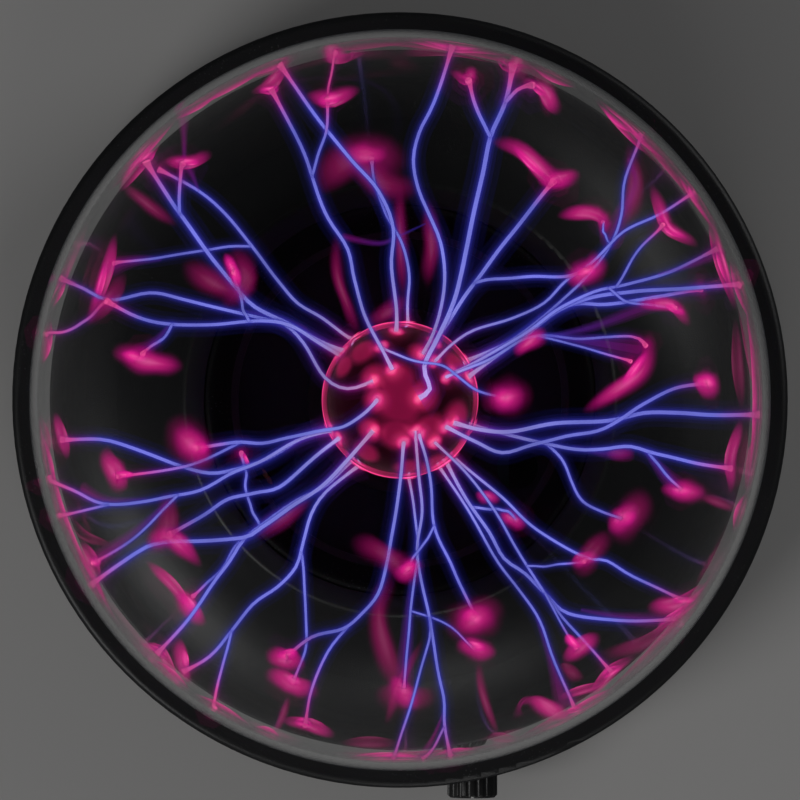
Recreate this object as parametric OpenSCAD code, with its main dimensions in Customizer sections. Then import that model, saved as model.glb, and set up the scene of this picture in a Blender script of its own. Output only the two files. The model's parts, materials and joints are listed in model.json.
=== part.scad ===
// Plasma ball: a sealed glass globe of thin gas round a glass electrode, on a flared base that
// holds the high-voltage driver. Millimetres, +Z up, origin on the table under the globe's
// centre. The controls face -Y and the power socket faces +Y.

/* [Globe] */
// Outer diameter of the glass globe
globe_d = 200; // [198:1:202]
// Height of the globe's centre above the table
globe_z = 170; // [169:1:171]
// Thickness of the globe's glass
globe_wall = 2; // [1.5:0.5:2.5]
// Outer diameter of the globe's neck
neck_d = 44; // [42:1:46]
// Height of the neck's open end above the table
neck_end = 46; // [45:1:47]

/* [Electrode] */
// Outer diameter of the glass electrode ball
bulb_d = 42; // [38:1:46]
// Outer diameter of the glass stem that carries the ball
stem_d = 14; // [13:1:16]
// Thickness of the ball's and the stem's glass
bulb_wall = 1.2; // [1:0.1:1.4]
// Diameter of the high-voltage lead over its silicone
lead_d = 3; // [2.6:0.2:3.4]

/* [Base] */
// Diameter of the base's straight skirt
base_d = 224; // [222:1:226]
// Height of the skirt's top edge above the table
skirt_top = 32; // [32:1:33]
// Height of the skirt's open rim above the table
skirt_rim = 3; // [2.5:0.5:3]
// Outer diameter of the collar under the globe
collar_d = 124; // [123:1:126]
// Height of the collar's rim above the table
collar_top = 86; // [85:1:87]
// Thickness of the base's plastic
base_wall = 2.5; // [2.2:0.1:2.8]
// Height of the rubber feet
foot_h = 4; // [4:0.5:4]

/* [Controls] */
// Distance from the axis to the flat floor of the control niche
niche_floor = 102.5; // [102:0.5:103]
// Width of the control panel
panel_w = 76; // [74:1:78]
// Height of the control panel
panel_h = 18.8; // [18:0.2:19.4]
// Sideways place of the rocker switch
rocker_x = -19; // [-20:0.5:-18]
// Sideways place of the brightness knob
knob_x = 21; // [20:0.5:22]
// Diameter of the brightness knob
knob_d = 14.5; // [13:0.5:15]
// Angle that each half of the rocker slopes at, and tilts through
rocker_slope = 12; // [10:1:13]

/* [Power socket] */
// Diameter of the socket's bore, for a 5.5 mm barrel plug
socket_bore_d = 6; // [5.8:0.1:6.2]
// Diameter of the socket's centre pin
socket_pin_d = 2.1; // [2:0.1:2.1]
// Depth of the socket's bore
socket_depth = 11; // [10:0.5:12]

/* [Hidden] */
$fn = 96;

gap = 0.05;                 // between glass and what beds on it
eps = 0.5;                  // how far a cut runs past a face

globe_r = globe_d / 2;
neck_r = neck_d / 2;
bulb_r = bulb_d / 2;
stem_r = stem_d / 2;
lead_r = lead_d / 2;

flare_top = 60;             // where the stem starts to flare
flare_rim = 1.5;            // thickness of the flare's fused rim
flare_r = neck_r - globe_wall - 0.1;
tip_y = 13;                 // the exhaust tip's place on the flare
tip_r = 2.2;
tip_end = 37;

base_r = base_d / 2;
collar_r = collar_d / 2;
edge_r = 2;                 // rounding of the skirt's top edge
rim_r = 1.5;                // rounding of the collar's rim
sweep_x = base_r - edge_r;
sweep_r = sweep_x - collar_r;
sweep_z = skirt_top + sweep_r;
seat_r = 55.6;              // inside of the collar
ledge_r = 46;               // inner edge of the seat under the gasket
ledge_top = collar_top - 7;
ledge_bottom = ledge_top - base_wall;

plate_z = 4;                // underside of the bottom plate
plate_t = 2.2;
plate_top = plate_z + plate_t;
plate_r = base_r - base_wall - 0.3;
boss_r = 98;                // radius of the base screws' circle
boss_angles = [20, 160, 200, 340];
foot_ring_r = 90;
foot_angles = [45, 135, 225, 315];
foot_r = 8;
pillar_r = 51;              // radius of the retainer screws' circle
pillar_angles = [30, 150, 270];
pillar_end = 58;
retainer_t = 3;

niche_bottom = plate_top + 2.4;
niche_top = skirt_top - 3;
control_z = (niche_bottom + niche_top) / 2;
niche_w = 82;
wall_back = niche_floor - base_wall;    // inner face of the niche's flat wall
panel_t = 1.5;
panel_face = niche_floor + panel_t;

rocker_pivot = panel_face - 2;          // distance from the axis to the rocker's pivot
rocker_swing_r = 8.6;
rocker_h = 10.4;
rocker_pin_r = 1;
bezel_w = 21;
bezel_h = 15;
bezel_t = 2;
housing_w = 19;
housing_h = 13;
housing_back = rocker_pivot - 13;

pot_r = 8.2;
pot_t = 8;
bushing_r = 3.5;
bushing_end = panel_face + 2.9;
shaft_r = 3;
shaft_end = panel_face + 9;
knob_back = panel_face + 3;
knob_front = panel_face + 11.3;

jack_z = control_z;
jack_seat = base_r - 1.5;
jack_wall = jack_seat - 4.5;
jack_r = 5.4;
jack_back = 96;

board_z = 13;
board_t = 1.6;
board_top = board_z + board_t;
board_x = [-72, 32];
board_y = [-46, 26];
board_hole_r = 1.6;
board_inset = 4;
board_holes = [for (x = [board_x[0] + board_inset, board_x[1] - board_inset])
    for (y = [board_y[0] + board_inset, board_y[1] - board_inset]) [x, y]];

coil_x = -46;               // axis of the high-voltage winding
leg_gap = 27;               // between the core's two legs
core_bottom = board_top + 1.4;
core_h = 34;
yoke_h = 8;
leg_w = 9;
leg_d = 10;
window_bottom = core_bottom + yoke_h;
winding_h = core_h - 2 * yoke_h - 0.4;
hv_r = 13;
primary_r = 9.5;
lead_z = window_bottom + winding_h / 2;
lead_bend_r = 8;

// --- shared shapes ---

// Copies its children to each angle on a circle about the axis.
module around(radius, angles)
    for (a = angles) rotate([0, 0, a]) translate([radius, 0, 0]) children();

// A bar between two heights, on the axis it is drawn on.
module post(r, low, high)
    translate([0, 0, low]) cylinder(r = r, h = high - low);

// A round bar that runs along -Y from one distance to a greater one.
module out_post(r, near, far)
    rotate([90, 0, 0]) post(r, near, far);

// A box by its lowest and highest corners.
module block(low, high)
    translate(low) cube(high - low);

// A cross-headed screw: its head's top is at z = 0 and its shank points down.
module screw(head_r, head_h, shank_r, length) {
    difference() {
        post(head_r, -head_h, 0);
        for (a = [0, 90]) rotate([0, 0, a])
            block([-head_r * 0.6, -head_r * 0.13, -head_h * 0.6], [head_r * 0.6, head_r * 0.13, eps]);
    }
    post(shank_r, -length, -head_h + 0.01);
}

// Points of a cubic curve through its four control points.
function along(p, t) = pow(1 - t, 3) * p[0] + 3 * pow(1 - t, 2) * t * p[1]
    + 3 * (1 - t) * t * t * p[2] + pow(t, 3) * p[3];
function unit(v) = v / norm(v);
function ring(centre, heading, r, sides) =
    let (across = unit(cross(heading, [0.02, 0.01, 1])), up = cross(across, heading))
    [for (k = [0 : sides - 1]) centre
        + r * cos(360 * k / sides) * across + r * sin(360 * k / sides) * up];

// A soft wire of radius r along a cubic curve.
module wire(p, r = 0.75, sides = 8, steps = 10) {
    centres = [for (k = [0 : steps]) along(p, k / steps)];
    headings = [for (k = [0 : steps]) unit(along(p, min(1, k / steps + 0.02))
        - along(p, max(0, k / steps - 0.02)))];
    points = [for (k = [0 : steps]) each ring(centres[k], headings[k], r, sides)];
    walls = [for (k = [0 : steps - 1]) for (s = [0 : sides - 1]) let (n = (s + 1) % sides)
        [k * sides + s, k * sides + n, (k + 1) * sides + n, (k + 1) * sides + s]];
    near_end = [for (s = [sides - 1 : -1 : 0]) s];
    far_end = [for (s = [0 : sides - 1]) steps * sides + s];
    polyhedron(points, concat(walls, [near_end, far_end]), convexity = 4);
}

// --- glass ---

module glass_globe() color([0.85, 0.92, 0.95, 0.3]) difference() {
    union() {
        translate([0, 0, globe_z]) sphere(globe_r);
        post(neck_r, neck_end, globe_z - globe_r + 10);
    }
    translate([0, 0, globe_z]) sphere(globe_r - globe_wall);
    post(neck_r - globe_wall, neck_end - eps, globe_z - globe_r + 10);
}

module flare_hollow() {
    translate([0, 0, neck_end - flare_rim - eps]) cylinder(r = flare_r - bulb_wall - 0.3, h = eps + 0.01);
    translate([0, 0, neck_end - flare_rim])
        cylinder(r1 = flare_r - bulb_wall - 0.3, r2 = stem_r - bulb_wall,
            h = flare_top - neck_end + flare_rim);
}

module inner_bulb() color([0.8, 0.9, 0.95, 0.35]) difference() {
    union() {
        translate([0, 0, globe_z]) sphere(bulb_r);
        post(stem_r, flare_top, globe_z - bulb_r + 4);
        translate([0, 0, neck_end]) cylinder(r1 = flare_r, r2 = stem_r, h = flare_top - neck_end);
        post(neck_r, neck_end - flare_rim, neck_end);
    }
    translate([0, 0, globe_z]) sphere(bulb_r - bulb_wall);
    post(stem_r - bulb_wall, flare_top - 1, globe_z - bulb_r + 4);
    flare_hollow();
}

module exhaust_tip() color([0.8, 0.9, 0.95, 0.35]) intersection() {
    translate([0, tip_y, 0]) union() {
        post(tip_r, tip_end + 5, flare_top);
        translate([0, 0, tip_end]) cylinder(r1 = 0.6, r2 = tip_r, h = 5);
    }
    union() {
        translate([0, 0, neck_end - flare_rim])
            cylinder(r1 = flare_r - bulb_wall - 0.35, r2 = stem_r - bulb_wall - 0.05,
                h = flare_top - neck_end + flare_rim);
        post(flare_r - bulb_wall - 0.35, tip_end - eps, neck_end - flare_rim + 0.01);
    }
}

// --- what carries the voltage up to the electrode ---

module electrode_lining() color([0.05, 0.05, 0.06]) translate([0, 0, globe_z]) difference() {
    sphere(bulb_r - bulb_wall - gap);
    sphere(bulb_r - bulb_wall - gap - 0.5);
    post(stem_r - bulb_wall, -bulb_r, 0);
}

module contact_fingers() color("silver") translate([0, 0, globe_z]) {
    reach = bulb_r - bulb_wall - 0.7;
    post(2.4, -3, 3);
    for (a = [0 : 60 : 300]) rotate([0, 0, a]) block([2, -1, -0.2], [reach, 1, 0.2]);
}

module hv_lead() color("firebrick") {
    post(lead_r, lead_z + lead_bend_r, globe_z - 3.1);
    translate([-lead_bend_r, 0, lead_z + lead_bend_r]) rotate([90, 0, 0]) rotate([0, 0, -90])
        rotate_extrude(angle = 90) translate([lead_bend_r, 0]) circle(lead_r, $fn = 32);
    translate([-lead_bend_r, 0, lead_z]) rotate([0, -90, 0])
        cylinder(r = lead_r, h = -coil_x - hv_r - lead_bend_r - 0.1);
}

module stem_plug() color("white") difference() {
    post(stem_r - bulb_wall - gap, flare_top + 1, flare_top + 9);
    post(lead_r + 0.02, flare_top, flare_top + 10);
}

// --- what holds the globe ---

module globe_gasket() color([0.08, 0.08, 0.08]) rotate_extrude() difference() {
    translate([ledge_r + 2, ledge_top]) square([seat_r - gap - ledge_r - 2, 8]);
    translate([0, globe_z]) circle(globe_r + gap);
    translate([0, collar_top - 0.4]) square([seat_r, 5]);
}

module neck_bushing() color("lightgray") difference() {
    union() {
        post(neck_r + 2.2, pillar_end - retainer_t - 6, pillar_end + 2);
        post(neck_r + 4.5, pillar_end + 0.1, pillar_end + 2);
    }
    post(neck_r + gap, 40, 70);
}

module globe_retainer() color([0.15, 0.15, 0.16]) difference() {
    union() {
        post(pillar_r + 5, pillar_end - retainer_t, pillar_end);
        post(neck_r + 5.5, pillar_end - retainer_t - 6, pillar_end);
    }
    post(neck_r + 2.3, 40, 70);
    around(pillar_r, pillar_angles) post(1.7, 40, 70);
    around(39, [90, 210, 330]) post(6, 40, 70);
}

module retainer_screws() color("silver") around(pillar_r, pillar_angles)
    translate([0, 0, pillar_end - retainer_t - 2]) mirror([0, 0, 1]) screw(3, 2, 1.25, 14);

// --- base ---

// The base's outside as a solid of revolution, closed to the axis.
module base_outside() rotate_extrude() {
    translate([0, skirt_rim]) square([base_r, skirt_top - edge_r - skirt_rim]);
    translate([sweep_x, skirt_top - edge_r]) circle(edge_r);
    difference() {
        translate([0, skirt_rim]) square([sweep_x, collar_top - rim_r - skirt_rim]);
        translate([sweep_x, sweep_z]) circle(sweep_r);
        translate([collar_r, sweep_z]) square([sweep_r + eps, collar_top]);
    }
    translate([0, skirt_rim]) square([collar_r - rim_r, collar_top - skirt_rim]);
    translate([collar_r - rim_r, collar_top - rim_r]) circle(rim_r);
}

// The hollow of the base, with the round seat for the globe above it.
module base_inside() {
    rotate_extrude() difference() {
        translate([0, -eps]) square([base_r - base_wall, ledge_bottom + eps]);
        translate([sweep_x, sweep_z]) circle(sweep_r + base_wall);
    }
    post(ledge_r, ledge_bottom - 1, collar_top + eps);
    post(seat_r, ledge_top, collar_top + eps);
}

module base_shell() color([0.06, 0.06, 0.07]) difference() {
    union() {
        difference() {
            base_outside();
            base_inside();
        }
        // the niche's walls and the socket's pad
        intersection() {
            base_outside();
            union() {
                block([-niche_w / 2 - 2.5, -base_r, plate_top + 0.2],
                    [niche_w / 2 + 2.5, -wall_back, skirt_top]);
                block([-10, jack_wall, plate_top + 0.2], [10, base_r, skirt_top]);
            }
        }
        around(boss_r, boss_angles) post(4, plate_top + 0.2, skirt_top + 0.3);
        around(pillar_r, pillar_angles) post(3.5, pillar_end, ledge_bottom + 1);
    }
    block([-niche_w / 2, -base_r - eps, niche_bottom], [niche_w / 2, -niche_floor, niche_top]);
    translate([rocker_x, 0, control_z]) block([-housing_w / 2 - 0.2, -base_r, -housing_h / 2 - 0.2],
        [housing_w / 2 + 0.2, -wall_back + eps, housing_h / 2 + 0.2]);
    translate([knob_x, 0, control_z]) out_post(bushing_r + 0.2, wall_back - eps, base_r);
    microphone_holes();
    translate([0, 0, jack_z]) rotate([180, 0, 0]) out_post(jack_r + 0.1, jack_wall - eps, base_r + 1);
    translate([0, 0, jack_z]) rotate([180, 0, 0]) out_post(7, jack_seat, base_r + 1);
    around(boss_r, boss_angles) post(1.3, plate_top, skirt_top - 8);
    around(pillar_r, pillar_angles) post(1.27, pillar_end - eps, ledge_bottom - 2);
}

module vent_slot(length) {
    translate([0, 0, plate_z - eps]) linear_extrude(plate_t + 2 * eps) {
        square([length, 3], center = true);
        for (s = [-1, 1]) translate([s * length / 2, 0]) circle(1.5);
    }
}

module bottom_plate() color([0.09, 0.09, 0.1]) difference() {
    union() {
        post(plate_r, plate_z, plate_top);
        for (p = board_holes) translate(p) post(3.2, plate_top - 0.01, board_z);
    }
    around(74, [0 : 15 : 345]) vent_slot(10);
    around(58, [7.5 : 15 : 352.5]) vent_slot(8);
    around(boss_r, boss_angles) {
        post(1.6, plate_z - eps, plate_top + eps);
        post(3.2, plate_z - eps, plate_z + 1.2);
    }
    around(foot_ring_r, foot_angles) post(2.5, plate_z - eps, plate_top + eps);
    for (p = board_holes) translate(p) post(1.15, plate_top, board_z + eps);
}

module base_screws() color("dimgray") around(boss_r, boss_angles)
    translate([0, 0, plate_z - 0.8]) mirror([0, 0, 1]) screw(2.9, 2, 1.28, 17);

module rubber_feet() color([0.05, 0.05, 0.05]) around(foot_ring_r, foot_angles) {
    difference() {
        post(foot_r, 0, foot_h);
        post(2, 0.8, foot_h + 0.01);
    }
    difference() {
        union() {
            post(2.45, foot_h - 0.01, plate_top + 1.8);
            translate([0, 0, plate_top + 0.05]) cylinder(r1 = 3.3, r2 = 2.2, h = 1.75);
        }
        post(1.2, 0.8, plate_top + 0.5);
    }
}

// --- controls ---

module microphone_holes() translate([2, 0, control_z]) for (p = [[0, 0], each [for (a = [0 : 60 : 300])
        [1.8 * cos(a), 1.8 * sin(a)]]])
    translate([p[0], 0, p[1]]) out_post(0.5, wall_back - eps, base_r);

module control_panel() color([0.12, 0.12, 0.13]) difference() {
    block([-panel_w / 2, -panel_face, control_z - panel_h / 2],
        [panel_w / 2, -niche_floor - gap, control_z + panel_h / 2]);
    translate([rocker_x, 0, control_z]) block([-housing_w / 2 - 0.2, -base_r, -housing_h / 2 - 0.2],
        [housing_w / 2 + 0.2, -wall_back, housing_h / 2 + 0.2]);
    translate([knob_x, 0, control_z]) out_post(bushing_r + 0.2, wall_back, base_r);
    microphone_holes();
}

module switch_housing() color([0.07, 0.07, 0.07]) translate([rocker_x, 0, control_z]) difference() {
    union() {
        block([-bezel_w / 2, -panel_face - bezel_t, -bezel_h / 2],
            [bezel_w / 2, -panel_face - gap, bezel_h / 2]);
        block([-housing_w / 2, -panel_face - 0.1, -housing_h / 2],
            [housing_w / 2, -housing_back, housing_h / 2]);
    }
    block([-rocker_swing_r - 0.25, -base_r, -rocker_h / 2 - 0.25],
        [rocker_swing_r + 0.25, -rocker_pivot + 7, rocker_h / 2 + 0.25]);
    translate([0, -rocker_pivot, 0]) post(rocker_pin_r + 0.05, -rocker_h / 2 - 1.3, rocker_h / 2 + 1.3);
}

// The rocker's outline square to its pivot, with each half of its face sloping out.
module rocker_outline() {
    reach = rocker_swing_r + 1;
    polygon([[-reach, -3.2 - reach * tan(rocker_slope)], [0, -3.2], [reach, -3.2 - reach * tan(rocker_slope)],
        [reach, -0.5], [3, 2.2], [-3, 2.2], [-reach, -0.5]]);
}

module switch_rocker() color([0.1, 0.1, 0.1])
    translate([rocker_x, -rocker_pivot, control_z]) rotate([0, 0, rocker_slope]) {
        translate([0, 0, -rocker_h / 2]) linear_extrude(rocker_h) intersection() {
            circle(rocker_swing_r);
            rocker_outline();
        }
        post(rocker_pin_r, -rocker_h / 2 - 1.2, rocker_h / 2 + 1.2);
    }

module switch_terminals() color("gold") translate([rocker_x, 0, control_z])
    for (x = [-6.5, 0, 6.5]) block([x - 0.4, -housing_back + gap, -2.4], [x + 0.4, -housing_back + 8, 2.4]);

module pot_body() color("silver") translate([knob_x, 0, control_z]) difference() {
    union() {
        out_post(pot_r, wall_back - pot_t, wall_back - gap);
        out_post(bushing_r, wall_back - 1, bushing_end);
        block([-6, -wall_back + pot_t - 2, -pot_r - 3], [6, -wall_back + pot_t, 0]);
    }
    out_post(shaft_r + 0.05, wall_back - pot_t + 2, bushing_end + eps);
}

module pot_shaft() color("lightgray") translate([knob_x, 0, control_z]) difference() {
    out_post(shaft_r, wall_back - pot_t + 2.1, shaft_end);
    block([-0.5, -shaft_end - eps, -shaft_r - eps], [0.5, -shaft_end + 4, shaft_r + eps]);
}

module pot_nut() color("silver") translate([knob_x, 0, control_z]) difference() {
    union() {
        out_post(5.6, panel_face + gap, panel_face + 0.5);
        rotate([90, 0, 0]) translate([0, 0, panel_face + 0.49]) cylinder(r = 5.2, h = 1.9, $fn = 6);
    }
    out_post(bushing_r + 0.03, panel_face, panel_face + 3);
}

module brightness_knob() color([0.1, 0.1, 0.11]) translate([knob_x, 0, control_z]) difference() {
    union() {
        out_post(knob_d / 2, knob_back, knob_front - 0.8);
        rotate([90, 0, 0]) translate([0, 0, knob_front - 0.81])
            cylinder(r1 = knob_d / 2, r2 = knob_d / 2 - 0.8, h = 0.81);
    }
    out_post(shaft_r + 0.02, knob_back - eps, shaft_end + 0.2);
    for (a = [10 : 20 : 350]) rotate([0, a, 0]) translate([0, 0, knob_d / 2 + 0.35])
        out_post(0.8, knob_back + 1.5, knob_front + eps);
    block([-0.45, -knob_front - eps, 1.5], [0.45, -knob_front + 0.5, knob_d / 2 + eps]);
}

module pot_terminals() color("gold") translate([knob_x, 0, control_z])
    for (x = [-4, 0, 4])
        block([x - 0.9, -wall_back + pot_t + gap, -pot_r - 2.4],
            [x + 0.9, -wall_back + pot_t + 4, -pot_r - 1.6]);

module microphone() color("silver") translate([2, 0, control_z]) difference() {
    out_post(4.85, wall_back - 6.5, wall_back - gap);
    out_post(1, wall_back - 0.6, wall_back);
}

// --- power socket, drawn facing -Y and turned to the back ---

module at_jack() translate([0, 0, jack_z]) rotate([0, 0, 180]) children();

module dc_jack_body() color([0.08, 0.08, 0.08]) at_jack() difference() {
    union() {
        out_post(6.8, jack_seat + gap, base_r);
        out_post(jack_r, jack_back, jack_seat + 0.1);
    }
    out_post(socket_bore_d / 2, base_r - socket_depth, base_r + eps);
}

module dc_jack_pin() color("silver") at_jack()
    out_post(socket_pin_d / 2, base_r - socket_depth + gap, base_r - 1.5);

module dc_jack_nut() color("silver") at_jack() difference() {
    rotate([90, 0, 0]) translate([0, 0, jack_wall - 3]) cylinder(r = 8, h = 3 - gap, $fn = 6);
    out_post(jack_r + 0.03, jack_wall - 4, jack_wall + 1);
}

module dc_jack_terminals() color("gold") at_jack()
    for (x = [-3, 3]) block([x - 1.2, -jack_back + gap, -0.3], [x + 1.2, -jack_back + 6, 0.3]);

// --- driver board ---

module circuit_board() color("darkgreen") difference() {
    block([board_x[0], board_y[0], board_z], [board_x[1], board_y[1], board_top]);
    for (p = board_holes) translate(p) post(board_hole_r, board_z - eps, board_top + eps);
}

module board_screws() color("silver") for (p = board_holes) translate([p[0], p[1], board_top + 1.6])
    screw(2.6, 1.55, 1.12, 7.5);

module coil_former() color("ivory") difference() {
    block([coil_x - 15, -leg_gap - 12, board_top + gap], [coil_x + 15, 15, core_bottom - gap]);
    translate([coil_x, -leg_gap / 2, 0]) post(5, board_top, core_bottom);
}

module flyback_core() color([0.2, 0.2, 0.22]) difference() {
    block([coil_x - leg_d / 2, -leg_gap - leg_w / 2, core_bottom],
        [coil_x + leg_d / 2, leg_w / 2, core_bottom + core_h]);
    block([coil_x - leg_d, -leg_gap + leg_w / 2, window_bottom],
        [coil_x + leg_d, -leg_w / 2, window_bottom + winding_h + 0.4]);
}

// A round winding on one leg of the core.
module winding(r, y) translate([coil_x, y, 0]) difference() {
    post(r, window_bottom + 0.2, window_bottom + 0.2 + winding_h);
    block([-leg_d / 2 - 0.3, -leg_w / 2 - 0.3, window_bottom - 1],
        [leg_d / 2 + 0.3, leg_w / 2 + 0.3, window_bottom + winding_h + 2]);
}

module hv_winding() color([0.1, 0.1, 0.12]) winding(hv_r, 0);
module primary_winding() color("darkorange") winding(primary_r, -leg_gap);

module heat_sink() color("lightslategray") translate([6, 18, board_top + gap]) {
    block([-16, -2, 0], [16, 0, 24]);
    for (x = [-16 : 4 : 15]) block([x, -0.01, 0], [x + 1.2, 6, 24]);
}

module power_transistor() color([0.1, 0.1, 0.1]) translate([6, 16 - gap, board_top]) difference() {
    union() {
        block([-5, -4.5, 4], [5, -0.01, 13]);
        block([-5, -1.3, 12.9], [5, -0.01, 19]);
        for (x = [-2.54, 0, 2.54]) block([x - 0.4, -2.6, gap], [x + 0.4, -2.2, 4.01]);
    }
    translate([0, 0, 16]) rotate([90, 0, 0]) translate([0, 0, -1]) cylinder(r = 1.85, h = 4);
}

module transistor_screw() color("silver") translate([6, 14.6 - gap, board_top + 16])
    rotate([90, 0, 0]) translate([0, 0, 1.8]) screw(2.8, 1.75, 1.4, 3);

module electrolytic_can(r, h) {
    post(r, board_top + gap, board_top + h - 0.6);
    post(r - 0.6, board_top + h - 0.7, board_top + h);
}

module electrolytic_capacitors() color("midnightblue") {
    translate([20, -32, 0]) electrolytic_can(8, 24);
    translate([2, -33, 0]) electrolytic_can(5, 15);
    translate([24, -14, 0]) electrolytic_can(4, 11);
}

module film_capacitors() color("indianred") {
    block([-22, -42, board_top + gap], [-10, -36, board_top + 10]);
    block([-26, 14, board_top + gap], [-12, 19, board_top + 11]);
    block([-8, -24, board_top + gap], [0, -20, board_top + 7]);
}

module resistor() {
    out_post(1.15, -3.2, 3.2);
    out_post(0.3, -5.5, 5.5);
    for (y = [-5.2, 5.2]) translate([0, y, 0]) post(0.3, -1.2, 0.1);
}

module resistors() color("tan") for (x = [-26 : 5 : 4])
    translate([x, -6, board_top + 1.3]) resistor();

module driver_chip() color([0.1, 0.1, 0.1]) translate([14, 0, board_top]) {
    block([-4.8, -3.2, 1], [4.8, 3.2, 4.4]);
    for (x = [-3.81 : 2.54 : 3.82]) for (s = [-1, 1])
        block([x - 0.5, s * 3.8 - 0.15, gap], [x + 0.5, s * 3.8 + 0.15, 2.6]);
    for (x = [-3.81 : 2.54 : 3.82]) block([x - 0.5, -3.81, 2.2], [x + 0.5, 3.81, 2.6]);
}

// Two- and three-way plugs along the board's front edge, and the power plug at its back.
header_y = board_y[0] + 3;
headers = [[-40, header_y], [-4, header_y], [9, header_y], [-34, 21]];
module wire_headers() color("white") for (p = headers)
    block([p[0] - 4, p[1] - 2.5, board_top + gap], [p[0] + 4, p[1] + 2.5, board_top + 6]);

// --- wires inside the base ---

wire_z = board_top + 6.8;
module switch_leads() color("red") for (k = [-1 : 1])
    wire([[rocker_x + 6.5 * k, -housing_back + 8.9, control_z], [rocker_x + 6.5 * k, -70, control_z + 2],
        [headers[0][0] + 2.4 * k, -60, 38], [headers[0][0] + 2.4 * k, headers[0][1], wire_z]]);

module pot_leads() color("yellow") for (k = [-1 : 1])
    wire([[knob_x + 4 * k, -wall_back + pot_t + 4.9, control_z - pot_r - 2 + 0.8], [knob_x + 4 * k, -78, 12],
        [headers[2][0] + 2.4 * k, -64, 34], [headers[2][0] + 2.4 * k, headers[2][1], wire_z]]);

module microphone_leads() color("dimgray") for (k = [-0.5, 0.5])
    wire([[2 + 3 * k, -wall_back + 7.4, control_z], [2 + 3 * k, -76, control_z],
        [headers[1][0] + 2.4 * k, -66, 36], [headers[1][0] + 2.4 * k, headers[1][1], wire_z]]);

module jack_leads() color("black") for (k = [-0.5, 0.5])
    wire([[6 * k, jack_back - 6.9, jack_z], [6 * k, 74, jack_z + 4],
        [headers[3][0] + 3 * k, 50, 44], [headers[3][0] + 3 * k, headers[3][1], wire_z]], steps = 14);

glass_globe();
inner_bulb();
exhaust_tip();
electrode_lining();
contact_fingers();
hv_lead();
stem_plug();
globe_gasket();
neck_bushing();
globe_retainer();
retainer_screws();
base_shell();
bottom_plate();
base_screws();
rubber_feet();
control_panel();
switch_housing();
switch_rocker();
switch_terminals();
pot_body();
pot_shaft();
pot_nut();
brightness_knob();
pot_terminals();
microphone();
dc_jack_body();
dc_jack_pin();
dc_jack_nut();
dc_jack_terminals();
circuit_board();
board_screws();
coil_former();
flyback_core();
hv_winding();
primary_winding();
power_transistor();
transistor_screw();
heat_sink();
electrolytic_capacitors();
film_capacitors();
resistors();
driver_chip();
wire_headers();
switch_leads();
pot_leads();
jack_leads();
microphone_leads();
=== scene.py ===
import json
import math
import random

import bpy
from mathutils import Euler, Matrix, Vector, noise

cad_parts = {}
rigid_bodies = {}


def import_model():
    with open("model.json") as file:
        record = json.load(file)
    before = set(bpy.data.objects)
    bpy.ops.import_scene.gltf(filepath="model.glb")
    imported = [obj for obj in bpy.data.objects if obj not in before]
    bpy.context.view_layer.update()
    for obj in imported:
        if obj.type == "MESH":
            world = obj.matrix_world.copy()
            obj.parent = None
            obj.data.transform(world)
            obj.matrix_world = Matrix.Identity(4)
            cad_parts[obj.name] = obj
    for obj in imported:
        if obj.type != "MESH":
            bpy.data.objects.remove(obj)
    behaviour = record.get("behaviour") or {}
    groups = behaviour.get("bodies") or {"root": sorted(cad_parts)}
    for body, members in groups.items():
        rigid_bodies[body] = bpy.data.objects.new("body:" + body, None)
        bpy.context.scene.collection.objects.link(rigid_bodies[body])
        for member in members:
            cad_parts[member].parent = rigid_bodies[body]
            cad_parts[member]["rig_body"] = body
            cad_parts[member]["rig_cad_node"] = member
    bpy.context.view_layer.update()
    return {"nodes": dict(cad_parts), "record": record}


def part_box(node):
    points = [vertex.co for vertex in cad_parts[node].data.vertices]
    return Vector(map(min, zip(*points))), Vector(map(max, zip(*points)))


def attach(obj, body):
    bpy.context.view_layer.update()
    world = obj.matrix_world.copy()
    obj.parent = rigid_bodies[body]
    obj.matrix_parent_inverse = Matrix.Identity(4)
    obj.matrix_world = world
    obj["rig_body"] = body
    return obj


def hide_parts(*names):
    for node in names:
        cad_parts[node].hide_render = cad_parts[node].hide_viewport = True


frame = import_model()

nodes = frame["nodes"]
scene = bpy.context.scene
mm = 0.001

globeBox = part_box("glass_globe")
globeRadius = (globeBox[1].x - globeBox[0].x) / 2
globeCentre = Vector((0, 0, globeBox[1].z - globeRadius))
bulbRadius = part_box("inner_bulb")[1].z - globeCentre.z
glassWall = 2 * mm
innerRadius = globeRadius - glassWall
print("frame loaded, globe radius", round(globeRadius, 4))


# working tools

def deselectAll():
    bpy.ops.object.select_all(action="DESELECT")


def makeActive(piece):
    deselectAll()
    piece.select_set(True)
    bpy.context.view_layer.objects.active = piece


def editing(piece, on=True):
    makeActive(piece)
    bpy.ops.object.mode_set(mode="EDIT" if on else "OBJECT")


def selectWhere(piece, kind, wanted):
    # leaves edit mode on, with only the wanted verts, edges or faces selected
    bpy.ops.mesh.select_mode(type=kind)
    bpy.ops.mesh.select_all(action="DESELECT")
    bpy.ops.object.mode_set(mode="OBJECT")
    mesh = piece.data
    found = {"VERT": mesh.vertices, "EDGE": mesh.edges, "FACE": mesh.polygons}[kind]
    for item in found:
        item.select = wanted(item)
    bpy.ops.object.mode_set(mode="EDIT")


def applyModifier(piece, kind, **values):
    makeActive(piece)
    modifier = piece.modifiers.new(kind.title(), kind)
    for key, value in values.items():
        setattr(modifier, key, value)
    bpy.ops.object.modifier_apply(modifier=modifier.name)


def settle(piece, smoothAngle=None):
    # puts the piece's place in its mesh, as every CAD node has it
    makeActive(piece)
    bpy.ops.object.transform_apply(location=True, rotation=True, scale=True)
    if smoothAngle is None:
        bpy.ops.object.shade_smooth()
    else:
        bpy.ops.object.shade_smooth_by_angle(angle=math.radians(smoothAngle))
    return piece


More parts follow.
